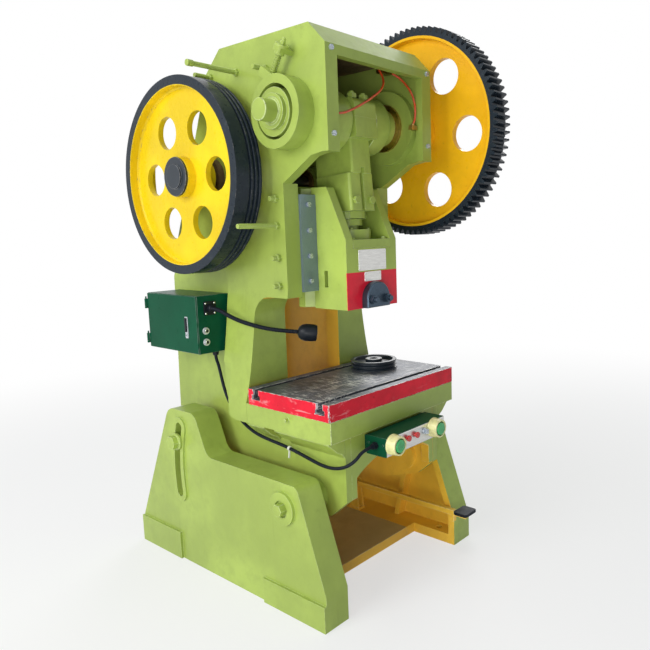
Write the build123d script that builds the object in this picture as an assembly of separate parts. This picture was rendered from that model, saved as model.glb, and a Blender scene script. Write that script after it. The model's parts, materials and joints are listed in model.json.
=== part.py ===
from build123d import *
import math
import os

os.makedirs("parts", exist_ok=True)

# Open-back inclinable mechanical press, millimetres.
# X runs left to right as the operator sees it, the operator stands on the -Y side, Z is up.
# The origin is on the floor, straight under the working axis of the ram.

# Bolster and bed
bolster_w = 700.0
bolster_d = 420.0
bolster_t = 60.0
bed_top = 690.0
bed_t = 75.0
bed_half = 345.0
tslot_y = 165.0
tslot_w = 22.0
tslot_head_w = 38.0
tslot_head_h = 16.0
tslot_neck = 22.0

# Side plates of the frame
head_half = 275.0
head_plate = 40.0
web_half = head_half - 13.0
web_t = 27.0
column_in = head_half - 132.0
throat_y = 228.0
throat_top = 1078.0
throat_r = 75.0
flange_back = 395.0
column_flange = 70.0
recess_top = 1190.0
rear_flange = 45.0
head_top = 1972.0
head_front = -176.0
head_low = 1566.0
plate_t = 30.0
neck_y = 50.0
window_half = head_half - head_plate - 13.0
window_top = 1868.0
lower_front = -190.0
arch_half = web_half - web_t - 27.0
arch_spring = 455.0
arch_rise = 60.0

# Guide of the ram
guide_in = head_half - head_plate - 26.0
guide_back = 190.0
guide_top = 1476.0
guide_plate = 30.0
gib_front = 40.0
gib_d = 100.0
gib_z0 = 1095.0
gib_z1 = 1440.0
vee_depth = 27.0
vee_half = 27.0
slide_gap = 0.2

# Crank drive
crank_z = 1700.0
throw = 40.0
pin_half = 62.0
pin_r = 62.0
cheek_r = 108.0
cheek_t = 76.0
journal_r = 55.0
collar_r = 70.0
crank_end_r = 36.0
crank_end_x = head_half + 130.0
bush_wall = 7.0
bush_flange_r = 90.0
bush_flange_t = 12.0
boss_r = 140.0
boss_t = 30.0
run_fit = 0.05

# Gear pair
tooth_module = 9.0
gear_teeth = 90
pinion_teeth = 18
gear_x = head_half + 100.0
gear_width = 90.0
gear_rim = 38.0
gear_web = 26.0
gear_hub_r = 98.0
gear_hub_out = 16.0
gear_hole_r = 69.0
gear_hole_pcr = 255.0
gear_backlash = 0.6
shaft_drop_deg = 22.3
seat_gap = 0.3

# Flywheel
wheel_r = 352.0
wheel_x = head_half + 49.0
wheel_width = 106.0
wheel_rim = 36.0
wheel_web = 22.0
wheel_hub_r = 73.0
wheel_recess = 34.0
wheel_hole_r = 59.0
wheel_hole_pcr = 191.0
wheel_grooves = 3
groove_pitch = 17.0
groove_depth = 9.0
shaft_r = 35.0
shaft_boss_r = 75.0
cap_r = 70.0

# Brake on the left crank end
brake_ring_r = 118.5
brake_ring_in = 89.0
brake_drum_r = 79.0
brake_off = 8.5
brake_x0 = head_half + 15.0
brake_x1 = brake_x0 + 52.0

# Connecting rod and ball screw
rod_len = 461.0
rod_lean = math.degrees(math.asin((throw + throw * math.cos(math.pi / 4)) / 2 / rod_len))
rod_head_w = 112.0
rod_head_d = 132.0
rod_head_h = 70.0
rod_shank_w = 105.0
rod_shank_d = 95.0
rod_nut_h = 135.0
ring_nut_r = 69.0
ring_nut_h = 26.0
collar_r2 = 53.0
screw_r = 46.0
ball_r = 56.0
ball_room = 8.0
neck_r = 38.0

# Ram
ram_half = 136.0
ram_front = -104.0
ram_back = 150.0
ram_z0 = 1029.0
ram_h = 249.0
ram_top = 1466.0
ram_cheek = 36.0
cap_t = 31.0
shank_r = 25.0
shank_depth = 75.0
knock_w = 17.0
knock_h = 60.0
clamp_w = 124.0
clamp_d = 30.0
clamp_foot = 34.0
clamp_h = 95.0

# Legs and floor plate
leg_in = web_half + 54.0
leg_out = leg_in + 100.0
leg_web = 30.0
leg_rim = 30.0
leg_floor = 40.0
leg_front = -233.0
leg_rear = 895.0
shoulder_z = 470.0
tower_z = 626.0
pivot_y = -40.0
pivot_z = 382.0
pivot_r = 30.0
slot_r = 626.0
slot_mid_deg = 10.9
slot_half_w = 19.0
slot_low_deg = -8.4
slot_high_deg = 16.4
clamp_r = 18.0
anchor_r = 13.0
anchor_x = leg_in + 34.0
anchor_y0 = -130.0
anchor_y1 = 810.0
floor_half = leg_in - 51.0
floor_y0 = -20.0
floor_y1 = 620.0

# Electric cabinet
cab_x0 = web_half + 140.0
cab_y0 = 414.0
cab_y1 = 750.0
cab_z0 = 860.0
cab_z1 = 1080.0
cab_wall = 3.0
door_t = 4.0

# Two-hand control box
ctl_half = 168.0
ctl_y0 = -295.0
ctl_y1 = -200.0
ctl_z0 = 536.0
ctl_z1 = 604.0
palm_xs = (-138.0, 98.0)
palm_z = 578.0
cup_r = 35.0
cup_in = 27.0
cup_h = 37.0
palm_r = 23.0
palm_gap = 7.0

# Pedal
pedal_x = leg_in - 30.0
pedal_z = 163.0
pedal_y = 290.0
pedal_w = 20.0
pedal_front = -325.0

# Small parts
cable_r = 6.0
hose_r = 4.0
hex_m16 = 12.0
hex_m12 = 9.5
screw_m12 = 6.0
screw_m16 = 8.0

bolster_top = bed_top + bolster_t
bed_low = bed_top - bed_t
gear_centres = tooth_module * (gear_teeth + pinion_teeth) / 2
shaft_y = gear_centres * math.cos(math.radians(shaft_drop_deg))
shaft_z = crank_z - gear_centres * math.sin(math.radians(shaft_drop_deg))
pin_y = throw
ball_y = pin_y - rod_len * math.sin(math.radians(rod_lean))
ball_z = crank_z - rod_len * math.cos(math.radians(rod_lean))
ram_seat = ram_z0 + ram_h


def box(x0, x1, y0, y1, z0, z1):
    return Pos((x0 + x1) / 2, (y0 + y1) / 2, (z0 + z1) / 2) * Box(abs(x1 - x0), abs(y1 - y0), abs(z1 - z0))


def cyl_x(y, z, r, x0, x1):
    return Pos((x0 + x1) / 2, y, z) * Rot(0, 90, 0) * Cylinder(r, abs(x1 - x0))


def cyl_y(x, z, r, y0, y1):
    return Pos(x, (y0 + y1) / 2, z) * Rot(90, 0, 0) * Cylinder(r, abs(y1 - y0))


def cyl_z(x, y, r, z0, z1):
    return Pos(x, y, (z0 + z1) / 2) * Cylinder(r, abs(z1 - z0))


def hex_x(y, z, r, x0, x1):
    face = Plane.YZ.offset(min(x0, x1)) * Pos(y, z) * RegularPolygon(r, 6)
    return extrude(face, amount=abs(x1 - x0))


def hex_y(x, z, r, y0, y1):
    face = Plane.XZ.offset(-max(y0, y1)) * Pos(x, z) * RegularPolygon(r, 6)
    return extrude(face, amount=abs(y1 - y0))


def hex_z(x, y, r, z0, z1):
    return extrude(Plane.XY.offset(min(z0, z1)) * Pos(x, y) * RegularPolygon(r, 6), amount=abs(z1 - z0))


def outline(points):
    # closed outline from (a, b) or (a, b, corner radius)
    face = make_face(Polyline(*[(p[0], p[1]) for p in points], close=True))
    for p in points:
        if len(p) > 2 and p[2] > 0:
            v = face.vertices().sort_by_distance((p[0], p[1], 0))[0]
            face = fillet(v, p[2])
    return face


def side(points, x0, x1):
    # a side-view outline in Y and Z made solid from x0 to x1
    return extrude(Plane.YZ.offset(min(x0, x1)) * outline(points), amount=abs(x1 - x0))


def both(shape):
    return shape, mirror(shape, Plane.YZ)


def save(name, *solids):
    parts = []
    for s in solids:
        parts += list(s.solids())
    if len(parts) == 1:
        export_step(parts[0], "parts/" + name + ".step")
    else:
        export_step(Compound(children=parts), "parts/" + name + ".step")


def tube(points, radius, share=0.45):
    # a round tube along straight runs joined by tangent arcs, as large as the runs allow
    vs = [Vector(*p) for p in points]
    radii = []
    for a, b, c in zip(vs, vs[1:], vs[2:]):
        turn = math.radians((b - a).get_angle(c - b))
        radii.append(share * min((b - a).length, (c - b).length) / math.tan(turn / 2))
    path = FilletPolyline(*vs, radius=radii)
    section = Plane(path @ 0, z_dir=path % 0) * Circle(radius)
    body = sweep(section, path=path)
    print("tube", "radii", [round(r) for r in radii], "fill", round(body.volume / (math.pi * radius ** 2 * path.length), 4))
    return body


# Legs: an outer web with a rim turned inwards, ribs behind, a pivot boss and an arc slot
leg_line = [(leg_front, 0), (leg_front, 120), (-110, shoulder_z, 30), (392, shoulder_z, 50),
            (462, tower_z, 50), (640, tower_z, 58), (leg_rear - 10, 115), (leg_rear, 0)]
leg = side(leg_line, leg_in, leg_out)
inner = offset(outline(leg_line), amount=-leg_rim)
leg -= extrude(Plane.YZ.offset(leg_in) * inner, amount=leg_out - leg_web - leg_in)
leg += box(leg_in, leg_out - leg_web, leg_front + leg_rim, leg_rear - 45, 0, leg_floor)
leg += box(floor_half, leg_in, floor_y0, floor_y1, 0, leg_floor)
rib_x0, rib_x1 = leg_out - leg_web - 45, leg_out - leg_web
leg += side([(pivot_y - 12, pivot_z), (pivot_y + 12, pivot_z), (64, 238), (310, 236), (310, 214), (72, 214), (112, leg_floor), (88, leg_floor), (48, 222)], rib_x0, rib_x1)
leg += cyl_x(pivot_y, pivot_z, 58, leg_out, leg_out + 12)
leg += cyl_x(pivot_y, pivot_z, 56, web_half + seat_gap, leg_out)
leg -= cyl_x(pivot_y, pivot_z, pivot_r, 0, leg_out + 20)


def arc_band(inner_r, outer_r, a0, a1, x0, x1):
    face = Circle(outer_r) - Circle(inner_r)
    reach = outer_r * 2
    wedge = make_face(Polyline((0, 0), (reach * math.cos(math.radians(a0)), reach * math.sin(math.radians(a0))),
                               (reach * math.cos(math.radians(a1)), reach * math.sin(math.radians(a1))), close=True))
    ring = Plane.YZ.offset(x0) * Pos(pivot_y, pivot_z) * (face & wedge)
    body = extrude(ring, amount=x1 - x0)
    mid = (inner_r + outer_r) / 2
    for a in (a0, a1):
        body += cyl_x(pivot_y + mid * math.cos(math.radians(a)), pivot_z + mid * math.sin(math.radians(a)), (outer_r - inner_r) / 2, x0, x1)
    return body


leg += arc_band(slot_r - slot_half_w - 20, slot_r + slot_half_w + 20, slot_low_deg, slot_high_deg, leg_out, leg_out + 8)
leg -= arc_band(slot_r - slot_half_w, slot_r + slot_half_w, slot_low_deg, slot_high_deg, leg_out - leg_web - 50, leg_out + 10)
leg += box(leg_out, leg_out + 10, 600, leg_rear - 8, 0, 112)
leg += box(leg_out, leg_out + 10, leg_front, 80, 0, 92)
leg -= cyl_z(anchor_x, anchor_y0, anchor_r, -5, leg_floor + 5)
leg -= cyl_z(anchor_x, anchor_y1, anchor_r, -5, leg_floor + 5)
leg_right, leg_left = both(leg)
save("leg_right", leg_right)
save("leg_left", leg_left)

# Floor plate between the legs, with two splice straps and their bolts on top
plate = box(-floor_half, floor_half, floor_y0, floor_y1, 0, leg_floor)
straps = []
for s in (-1, 1):
    strap = box(s * (floor_half - 55), s * (floor_half + 45), 430, 560, leg_floor, leg_floor + 14)
    for dx in (-30, 22):
        for y in (460, 530):
            strap += hex_z(s * (floor_half + dx), y, 16, leg_floor + 14, leg_floor + 27)
    straps.append(strap)
save("floor_plate", plate, *straps)

# Pivot pins, each through a leg boss into the frame
pins = []
for s in (-1, 1):
    pin = cyl_x(pivot_y, pivot_z, pivot_r, s * (web_half - web_t - 20), s * (leg_out + 12))
    pin += hex_x(pivot_y, pivot_z, 37, s * (leg_out + 12), s * (leg_out + 34))
    pins.append(pin)
save("pivot_pins", *pins)

# Side plates of the frame, made for the right and mirrored
head_line = [(head_front + plate_t, head_low), (head_front + plate_t, head_top - 42), (-104, head_top), (366, head_top), (452, 1898), (758, recess_top),
             (neck_y, recess_top), (neck_y, guide_top), (17, 1494), (-93, 1558)]
plate_side = side(head_line, head_half - head_plate, head_half)
band_line = [(neck_y, throat_top), (throat_y, throat_top, throat_r), (throat_y, bed_low), (flange_back, bed_low, 110), (flange_back, recess_top), (neck_y, recess_top)]
band = side(band_line, column_in, bed_half)
flare = make_face(Polyline((head_half, recess_top), (head_half, 1106)) + Bezier((head_half, 1106), (head_half + 12, 1010), (bed_half - 43, 830), (bed_half, bed_top))
                  + Polyline((bed_half, bed_top), (bed_half, 500), (bed_half + 100, 500), (bed_half + 100, recess_top), (head_half, recess_top)))
band -= extrude(Plane.XZ.offset(-flange_back - 10) * flare, amount=flange_back)
band -= box(column_in - 1, web_half - web_t, throat_y + column_flange, flange_back + 1, bed_low + 45, throat_top - 8)
band -= box(column_in - 1, head_half - head_plate, neck_y - 1, flange_back + 1, throat_top + plate_t, recess_top + 1)
band -= box(column_in - 1, guide_in, neck_y - 1, guide_back, throat_top - 1, throat_top + plate_t + 1)
relief = make_face(Polyline((bed_half + 2, 335), (leg_in - 6, 350), (leg_in - 6, flange_back + 5), (bed_half + 2, flange_back + 5), close=True))
band -= extrude(Plane.XY.offset(bed_low - 1) * relief, amount=205)
plate_side += band
web_line = [(flange_back - 60, recess_top), (758, recess_top), (782, 1135), (800, 560), (770, 470), (600, 330), (60, 262), (-108, 313), (lower_front, 382),
            (lower_front, bed_low), (flange_back - 60, bed_low)]
plate_side += side(web_line, web_half - web_t, web_half)
rear_line = [(758, recess_top), (782, 1135), (800, 562), (800 - rear_flange, 562), (782 - rear_flange, 1130), (758 - rear_flange, recess_top)]
plate_side += side(rear_line, column_in, web_half)
plate_side += box(guide_in, head_half, neck_y, guide_back, throat_top, guide_top)
plate_side += cyl_x(0, crank_z, boss_r, head_half - head_plate - boss_t, head_half)
plate_side += cyl_x(shaft_y, shaft_z, shaft_boss_r, head_half - head_plate - 45, head_half + 25)
plate_side += cyl_x(pivot_y, pivot_z, 62, web_half - web_t - 20, web_half)
bolt_y = pivot_y + slot_r * math.cos(math.radians(slot_mid_deg))
bolt_z = pivot_z + slot_r * math.sin(math.radians(slot_mid_deg))
plate_side += cyl_x(bolt_y, bolt_z, 36, web_half, leg_out - leg_web - seat_gap)
plate_side -= cyl_x(bolt_y, bolt_z, clamp_r, web_half - web_t - 1, leg_out)
plate_side -= cyl_x(0, crank_z, journal_r + run_fit + bush_wall, 0, head_half + 1)
plate_side -= cyl_x(shaft_y, shaft_z, shaft_r + run_fit + bush_wall, 0, head_half + 60)
plate_side -= cyl_x(pivot_y, pivot_z, pivot_r + run_fit, 0, leg_out)
frame_side_right, frame_side_left = both(plate_side)
adjust_y = 88.0
adjust_zs = (1121.0, 1220.0, 1332.0, 1425.0)
for z in adjust_zs:
    frame_side_left -= cyl_x(adjust_y, z, screw_m16, -guide_in + 1, -head_half - 1)
guard_studs_at = ((271.0, 1875.0, 200.0), (425.0, 1880.0, 70.0), (110.0, 1861.0, 58.0))
for y, z, length in guard_studs_at:
    frame_side_left -= cyl_x(y, z, screw_m16, -head_half + 25, -head_half - 1)
brake_lean = math.degrees(math.atan2(68, 104))
bolt_axis = Pos(-head_half - 38, 35, crank_z + 123) * Rot(brake_lean, 0, 0)
ear_half = 9.0
spring_len = 62.0
lug_z0 = ear_half + spring_len + 9
lug_z1 = lug_z0 + 16
lug = bolt_axis * box(-20, 40, -18, 18, lug_z0, lug_z1)
lug = fillet(lug.edges().filter_by(lambda e: abs((e % 0.5).X) < 0.1 and e.center().X < -head_half - 45 and e.length < 30), 8)
lug -= bolt_axis * cyl_z(0, 0, screw_m12 + run_fit, 0, 200)
frame_side_left += lug
save("frame_side_right", frame_side_right)
save("frame_side_left", frame_side_left)

# Bed, with the arched front wall of the lower body and the gussets under the bed
bed = box(-bed_half, bed_half, -bolster_d / 2, throat_y, bed_low, bed_top)
wall = make_face(Polyline((-web_half + web_t, 382), (-web_half + web_t, bed_low), (web_half - web_t, bed_low), (web_half - web_t, 382), close=True))
arch = make_face(Polyline((-arch_half, 300), (arch_half, 300), (arch_half, arch_spring)) + ThreePointArc((arch_half, arch_spring), (0, arch_spring + arch_rise), (-arch_half, arch_spring))
                 + Polyline((-arch_half, arch_spring), (-arch_half, 300)))
bed += extrude(Plane.XZ.offset(-lower_front - 40) * (wall - arch), amount=40)
flare_z = 540.0
for s in (-1, 1):
    for y0, y1 in ((lower_front, 84), (143, throat_y)):
        sx = s * web_half
        foot = make_face(Polyline((sx, bed_low), (s * (bed_half - 4), bed_low), (s * (bed_half - 6), bed_low - 8), (s * (web_half + 40), bed_low - 42),
                                  (s * (web_half + 12), bed_low - 58), (sx, flare_z), close=True))
        bed += extrude(Plane.XZ.offset(-y1) * foot, amount=y1 - y0)
bed += cyl_x(0, 666, 6, -bed_half - 16, -bed_half)
save("frame_bed", bed)

# Head shell: front plate with the window, slanted plate and top plate in one bend
rear_low = (667, 1400)
shell_out = [(head_front, head_low), (head_front, head_top - 72), (-104, head_top), (366, head_top), (452, 1898), rear_low, (rear_low[0] - 22, rear_low[1]), (430, 1886), (354, head_top - plate_t), (-104 + 12, head_top - plate_t),
             (head_front + plate_t, head_top - 72 - 12), (head_front + plate_t, head_low)]
shell = side(shell_out, -(head_half - head_plate), head_half - head_plate)
shell += side([(head_front, head_low), (head_front, head_top - 72), (head_front + plate_t, head_top - 42), (head_front + plate_t, head_low)], -head_half, head_half)
shell -= box(-window_half, window_half, head_front - 1, head_front + plate_t + 1, head_low - 1, window_top)
bolt_sites = [(x, z) for x in (-head_half + 25, head_half - 25) for z in (head_low + 56, window_top + 18)]
for x, z in bolt_sites:
    shell -= cyl_y(x, z, screw_m12, head_front - 1, head_front + plate_t - 4)
save("frame_head_shell", shell)

# Guide housing: back plate and cheeks behind the gibs, and the floor of the head
housing = box(-guide_in, guide_in, guide_back - guide_plate, guide_back, throat_top, guide_top)
for s in (-1, 1):
    housing += box(s * (ram_half + 5.5), s * guide_in, gib_front + gib_d, guide_back, throat_top, guide_top)
housing += box(-(head_half - head_plate), head_half - head_plate, guide_back, 480, throat_top + plate_t, throat_top + 2 * plate_t)
gib_x = (ram_half + guide_in) / 2
gib_zs = (1133.0, 1223.0, 1314.0, 1405.0)
for s in (-1, 1):
    for z in gib_zs:
        housing -= cyl_y(s * gib_x, z, screw_m12, gib_front, gib_front + gib_d + 32)
save("frame_guide_housing", housing)

# Ties across the back of the frame, above and below the open gap
tie_top = side([(758 - rear_flange, recess_top), (758, recess_top), rear_low, (rear_low[0] - rear_flange, rear_low[1])], -(head_half - head_plate), head_half - head_plate)
tie_low = side([(755, 560), (800, 560), (770, 478), (728, 478)], -(web_half - web_t), web_half - web_t)
save("frame_rear_ties", tie_top, tie_low)

# Bolster plate with two T-slots
bolster = box(-bolster_w / 2, bolster_w / 2, -bolster_d / 2, bolster_d / 2, bed_top, bolster_top)
for y in (-tslot_y, tslot_y):
    bolster -= box(-bolster_w, bolster_w, y - tslot_w / 2, y + tslot_w / 2, bolster_top - tslot_neck, bolster_top + 1)
    bolster -= box(-bolster_w, bolster_w, y - tslot_head_w / 2, y + tslot_head_w / 2, bolster_top - tslot_neck - tslot_head_h, bolster_top - tslot_neck)
bolster = chamfer(bolster.edges().filter_by(Axis.Z), 4)
save("bolster", bolster)

# Gibs with a vee rib that runs in the ram's groove
vee_y = gib_front + gib_d / 2
gib_face = make_face(Polyline((guide_in, gib_front), (guide_in, gib_front + gib_d), (ram_half + slide_gap, gib_front + gib_d),
                              (ram_half + slide_gap, vee_y + vee_half - slide_gap), (ram_half - vee_depth + slide_gap + 1, vee_y + 1), (ram_half - vee_depth + slide_gap + 1, vee_y - 1),
                              (ram_half + slide_gap, vee_y - vee_half + slide_gap), (ram_half + slide_gap, gib_front), close=True))
gib = extrude(Plane.XY.offset(gib_z0) * gib_face, amount=gib_z1 - gib_z0)
for z in gib_zs:
    gib -= cyl_y(gib_x, z, screw_m12, gib_front - 1, gib_front + gib_d + 1)
gib_right, gib_left = both(gib)
save("gib_right", gib_right)
save("gib_left", gib_left)

# Hexagon screws of one size: the gibs and the corners of the window
screws = []
for s in (-1, 1):
    for z in gib_zs:
        screws.append(cyl_y(s * gib_x, z, screw_m12, gib_front, gib_front + gib_d + 30) + hex_y(s * gib_x, z, hex_m12, gib_front - 8, gib_front))
for x, z in bolt_sites:
    screws.append(cyl_y(x, z, screw_m12, head_front, head_front + plate_t - 5) + hex_y(x, z, hex_m12, head_front - 8, head_front))
save("hex_screws", *screws)

# Adjusting screws of the left gib, one of them long, with lock nuts
adjusters = []
for z in adjust_zs:
    out = head_half + 170 if z == adjust_zs[2] else head_half + 32
    adj = cyl_x(adjust_y, z, screw_m16, -guide_in, -out) + hex_x(adjust_y, z, 14, -head_half, -head_half - 13)
    adjusters.append(adj)
save("gib_adjusters", *adjusters)

# Studs on the left of the head
studs = []
for y, z, length in guard_studs_at:
    studs.append(cyl_x(y, z, screw_m16, -head_half + 24, -head_half - length) + hex_x(y, z, 14, -head_half, -head_half - 10))
    if length > 150:
        studs[-1] += cyl_x(y, z, 11, -head_half - length, -head_half - length + 22)
save("head_studs", *studs)

# Bushes of the crankshaft and of the pinion shaft
bushes = []
for s in (-1, 1):
    x_in = head_half - head_plate - boss_t
    b = cyl_x(0, crank_z, journal_r + run_fit + bush_wall, s * x_in, s * head_half) + cyl_x(0, crank_z, bush_flange_r, s * (x_in - bush_flange_t), s * x_in)
    b -= cyl_x(0, crank_z, journal_r + run_fit, s * (x_in - 20), s * (head_half + 1))
    bushes.append(b)
save("crank_bushes", *bushes)
bushes = []
for s in (-1, 1):
    x_in = head_half - head_plate - 45
    b = cyl_x(shaft_y, shaft_z, shaft_r + run_fit + bush_wall, s * x_in, s * (head_half + 25)) + cyl_x(shaft_y, shaft_z, 60, s * (x_in - 8), s * x_in)
    b -= cyl_x(shaft_y, shaft_z, shaft_r + run_fit, s * (x_in - 20), s * (head_half + 26))
    bushes.append(b)
save("pinion_bushes", *bushes)

# Crankshaft, pin towards the back at mid-stroke
crank = cyl_x(0, crank_z, crank_end_r, -crank_end_x, -brake_x1 - 10)
crank += cyl_x(0, crank_z, 45, -brake_x1 - 12, -brake_x0 + 6)
crank += cyl_x(0, crank_z, journal_r, -brake_x0 + 6, -pin_half - 10)
crank += cyl_x(0, crank_z, journal_r, pin_half + 10, gear_x + gear_width + gear_hub_out)
crank_in = head_half - head_plate - boss_t - bush_flange_t
for s in (-1, 1):
    crank += cyl_x(0, crank_z, collar_r, s * (pin_half + cheek_t), s * (crank_in - 0.5))
    crank += cyl_x(throw / 2, crank_z, cheek_r, s * pin_half, s * (pin_half + cheek_t))
crank += cyl_x(pin_y, crank_z, pin_r, -pin_half, pin_half)
crank += cyl_x(0, crank_z, 26, gear_x + gear_width + gear_hub_out, gear_x + gear_width + gear_hub_out + 30)
save("crankshaft", crank)
drum = cyl_x(brake_off, crank_z, brake_drum_r, -brake_x1 + 4, -brake_x0) + cyl_x(0, crank_z, 57, -brake_x1 - 12, -brake_x1 + 4)
drum -= cyl_x(0, crank_z, 45, -brake_x1 - 13, -brake_x0 + 1)
save("brake_drum", drum)
gear_end = gear_x + gear_width + gear_hub_out
cap = cyl_x(0, crank_z, 78, gear_end + 0.5, gear_end + 14) + hex_x(0, crank_z, 44, gear_end + 14, gear_end + 32)
cap -= cyl_x(0, crank_z, 26, gear_end, gear_end + 60)
save("crank_end_nut", cap)


def gear_face(teeth, module, backlash, steps):
    # involute teeth, 20 degrees, with a few straight steps on each flank
    pitch = module * teeth / 2
    root, tip = pitch - 1.25 * module, pitch + module
    base = pitch * math.cos(math.radians(20))

    def half_angle(r):
        a = math.acos(min(1.0, base / r))
        p = math.radians(20)
        return math.pi / (2 * teeth) + math.tan(p) - p - (math.tan(a) - a) - backlash / (4 * pitch)

    low = max(root + 0.5, base)
    radii = [low + (tip - low) * k / (steps - 1) for k in range(steps)]
    pts = []
    for k in range(teeth):
        mid = 2 * math.pi * k / teeth
        pts.append((root, mid - half_angle(low)))
        pts += [(r, mid - half_angle(r)) for r in radii]
        pts += [(r, mid + half_angle(r)) for r in reversed(radii)]
        pts.append((root, mid + half_angle(low)))
    return make_face(Polyline(*[(r * math.cos(t), r * math.sin(t)) for r, t in pts], close=True)), root, tip


# Bull gear, free on the crankshaft
gface, groot, gtip = gear_face(gear_teeth, tooth_module, gear_backlash, 2)
gear = extrude(Plane.YZ.offset(gear_x) * Pos(0, crank_z) * Rot(0, 0, 0) * gface, amount=gear_width)
for x0, x1 in ((gear_x - 1, gear_x + (gear_width - gear_web) / 2), (gear_x + (gear_width + gear_web) / 2, gear_x + gear_width + 1)):
    gear -= cyl_x(0, crank_z, groot - gear_rim + 12, x0, x1)
gear += cyl_x(0, crank_z, gear_hub_r, head_half + 14, gear_end)
for k in range(6):
    a = math.radians(5 + 60 * k)
    gear -= cyl_x(gear_hole_pcr * math.cos(a), crank_z + gear_hole_pcr * math.sin(a), gear_hole_r, gear_x, gear_x + gear_width)
gear -= cyl_x(0, crank_z, journal_r + run_fit, head_half, gear_end + 1)
save("bull_gear", gear)

# Pinion cut on its shaft: a gap of the pinion faces a tooth of the gear on the line of centres
pface, proot, ptip = gear_face(pinion_teeth, tooth_module, gear_backlash, 5)
line_deg = -shaft_drop_deg
gear_phase = (line_deg % (360 / gear_teeth)) / (360 / gear_teeth)
pinion_deg = line_deg + 180 + (0.5 + gear_phase) * 360 / pinion_teeth
pinion = extrude(Plane.YZ.offset(gear_x - 2) * Pos(shaft_y, shaft_z) * Rot(0, 0, pinion_deg) * pface, amount=gear_width + 4)
x_far = gear_x + gear_width + 12
pinion += cyl_x(shaft_y, shaft_z, shaft_r, -wheel_x - wheel_width - 6, x_far)
pinion += cyl_x(shaft_y, shaft_z, 50, head_half + 25.5, gear_x - 2)
save("pinion_shaft", pinion)

# Flywheel: grooved rim, dished web with six holes, hub
w0, w1 = wheel_x, wheel_x + wheel_width
web_out = w1 - wheel_recess
web_back = web_out - wheel_web
rim_in = wheel_r - wheel_rim
dish = [(shaft_r, w0 - 12), (wheel_hub_r, w0 - 12), (wheel_hub_r, web_back), (rim_in - 22, web_back), (rim_in, web_back - 10), (rim_in, w0), (wheel_r, w0)]
for k in range(wheel_grooves):
    xg = w0 + 14 + groove_pitch * k
    dish += [(wheel_r, xg - 5), (wheel_r - groove_depth, xg - 1.5), (wheel_r - groove_depth, xg + 1.5), (wheel_r, xg + 5)]
dish += [(wheel_r, w1), (rim_in, w1), (rim_in, web_out + 6), (rim_in - 6, web_out), (wheel_hub_r, web_out), (wheel_hub_r, w1 - 4), (shaft_r, w1 - 4)]
wheel = revolve(Plane.XY * make_face(Polyline(*[(-x, r) for r, x in dish], close=True)), Axis.X)
wheel = Pos(0, shaft_y, shaft_z) * wheel
for k in range(6):
    a = math.radians(60 * k)
    wheel -= cyl_x(shaft_y + wheel_hole_pcr * math.cos(a), shaft_z + wheel_hole_pcr * math.sin(a), wheel_hole_r, -w0, -w1)
save("flywheel", wheel)
hub_cap = cyl_x(shaft_y, shaft_z, cap_r, -w1 + 4, -w1 - 5) + cyl_x(shaft_y, shaft_z, shaft_r + 9, -w1 - 5, -w1 - 12)
hub_cap -= cyl_x(shaft_y, shaft_z, shaft_r, -w1 + 5, -w1 - 6)
save("flywheel_cap", hub_cap)

# Brake band round the eccentric drum, with its lug, bolt and spring
ring = cyl_x(0, crank_z, brake_ring_r, -brake_x1, -brake_x0 + 6) - cyl_x(0, crank_z, brake_ring_in, -brake_x1 - 1, -brake_x0 + 7)
ring += cyl_x(0, crank_z, brake_ring_r, -brake_x0 + 6, -head_half) - cyl_x(0, crank_z, 100, -brake_x0 + 5, -head_half + 1)
ear = bolt_axis * (box(-20, 20, -20, 20, -ear_half, ear_half) + box(-20, 20, 0, 46, -ear_half - 12, ear_half))
ring += ear - cyl_x(0, crank_z, brake_ring_in + 5, -400, -200)
ring -= bolt_axis * cyl_z(0, 0, screw_m12 + run_fit, -ear_half, 80)
save("brake_band", ring)
bolt = bolt_axis * cyl_z(0, 0, screw_m12, -ear_half, lug_z1 + 30)
bolt += bolt_axis * (cyl_z(0, 0, 23, lug_z1, lug_z1 + 9) + hex_z(0, 0, hex_m12, lug_z1 + 9, lug_z1 + 20))
bolt += bolt_axis * cyl_z(0, 0, 16, ear_half + spring_len, lug_z0)
save("brake_bolt", bolt)
coil_z = ear_half + spring_len / 2
coil = bolt_axis * (cyl_z(0, 0, 11.5, ear_half, ear_half + spring_len) - cyl_z(0, 0, screw_m12 + 1, ear_half - 1, ear_half + spring_len + 1))
for k in range(6):
    zk = ear_half + (k + 0.5) * spring_len / 6
    coil -= bolt_axis * (cyl_z(0, 0, 20, zk - 1.6, zk + 1.6) - cyl_z(0, 0, 9.5, zk - 2, zk + 2))
save("brake_spring", coil)

# Connecting rod, built upright round the crank pin and leaned to the ball
head_fit = pin_r + run_fit
rod = box(-rod_head_w / 2, rod_head_w / 2, -rod_head_d, rod_head_d, -rod_head_h, 0)
rod_shank = box(-rod_shank_w / 2, rod_shank_w / 2, -rod_shank_d, rod_shank_d, -190, -rod_head_h + 1)
rod += fillet(rod_shank.edges().filter_by(Axis.Z), 10)
rod_clamp = box(-64, 64, -rod_shank_d + 8, rod_shank_d - 8, -190 - rod_nut_h, -190)
rod += fillet(rod_clamp.edges().filter_by(Axis.Z), 10)
rod -= cyl_x(0, 0, head_fit, -80, 80)
rod -= cyl_z(0, 0, screw_r, -400, -130)
rod -= box(-8, 8, -200, 0, -190 - rod_nut_h - 1, -190 + 20)
rod_cap = box(-rod_head_w / 2, rod_head_w / 2, -rod_head_d, rod_head_d, 0, rod_head_h)
rod_cap = fillet(rod_cap.edges().filter_by(Axis.X).sort_by(Axis.Z)[-2:], 26)
rod_cap -= cyl_x(0, 0, head_fit, -80, 80)
rod_bolts = []
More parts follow.
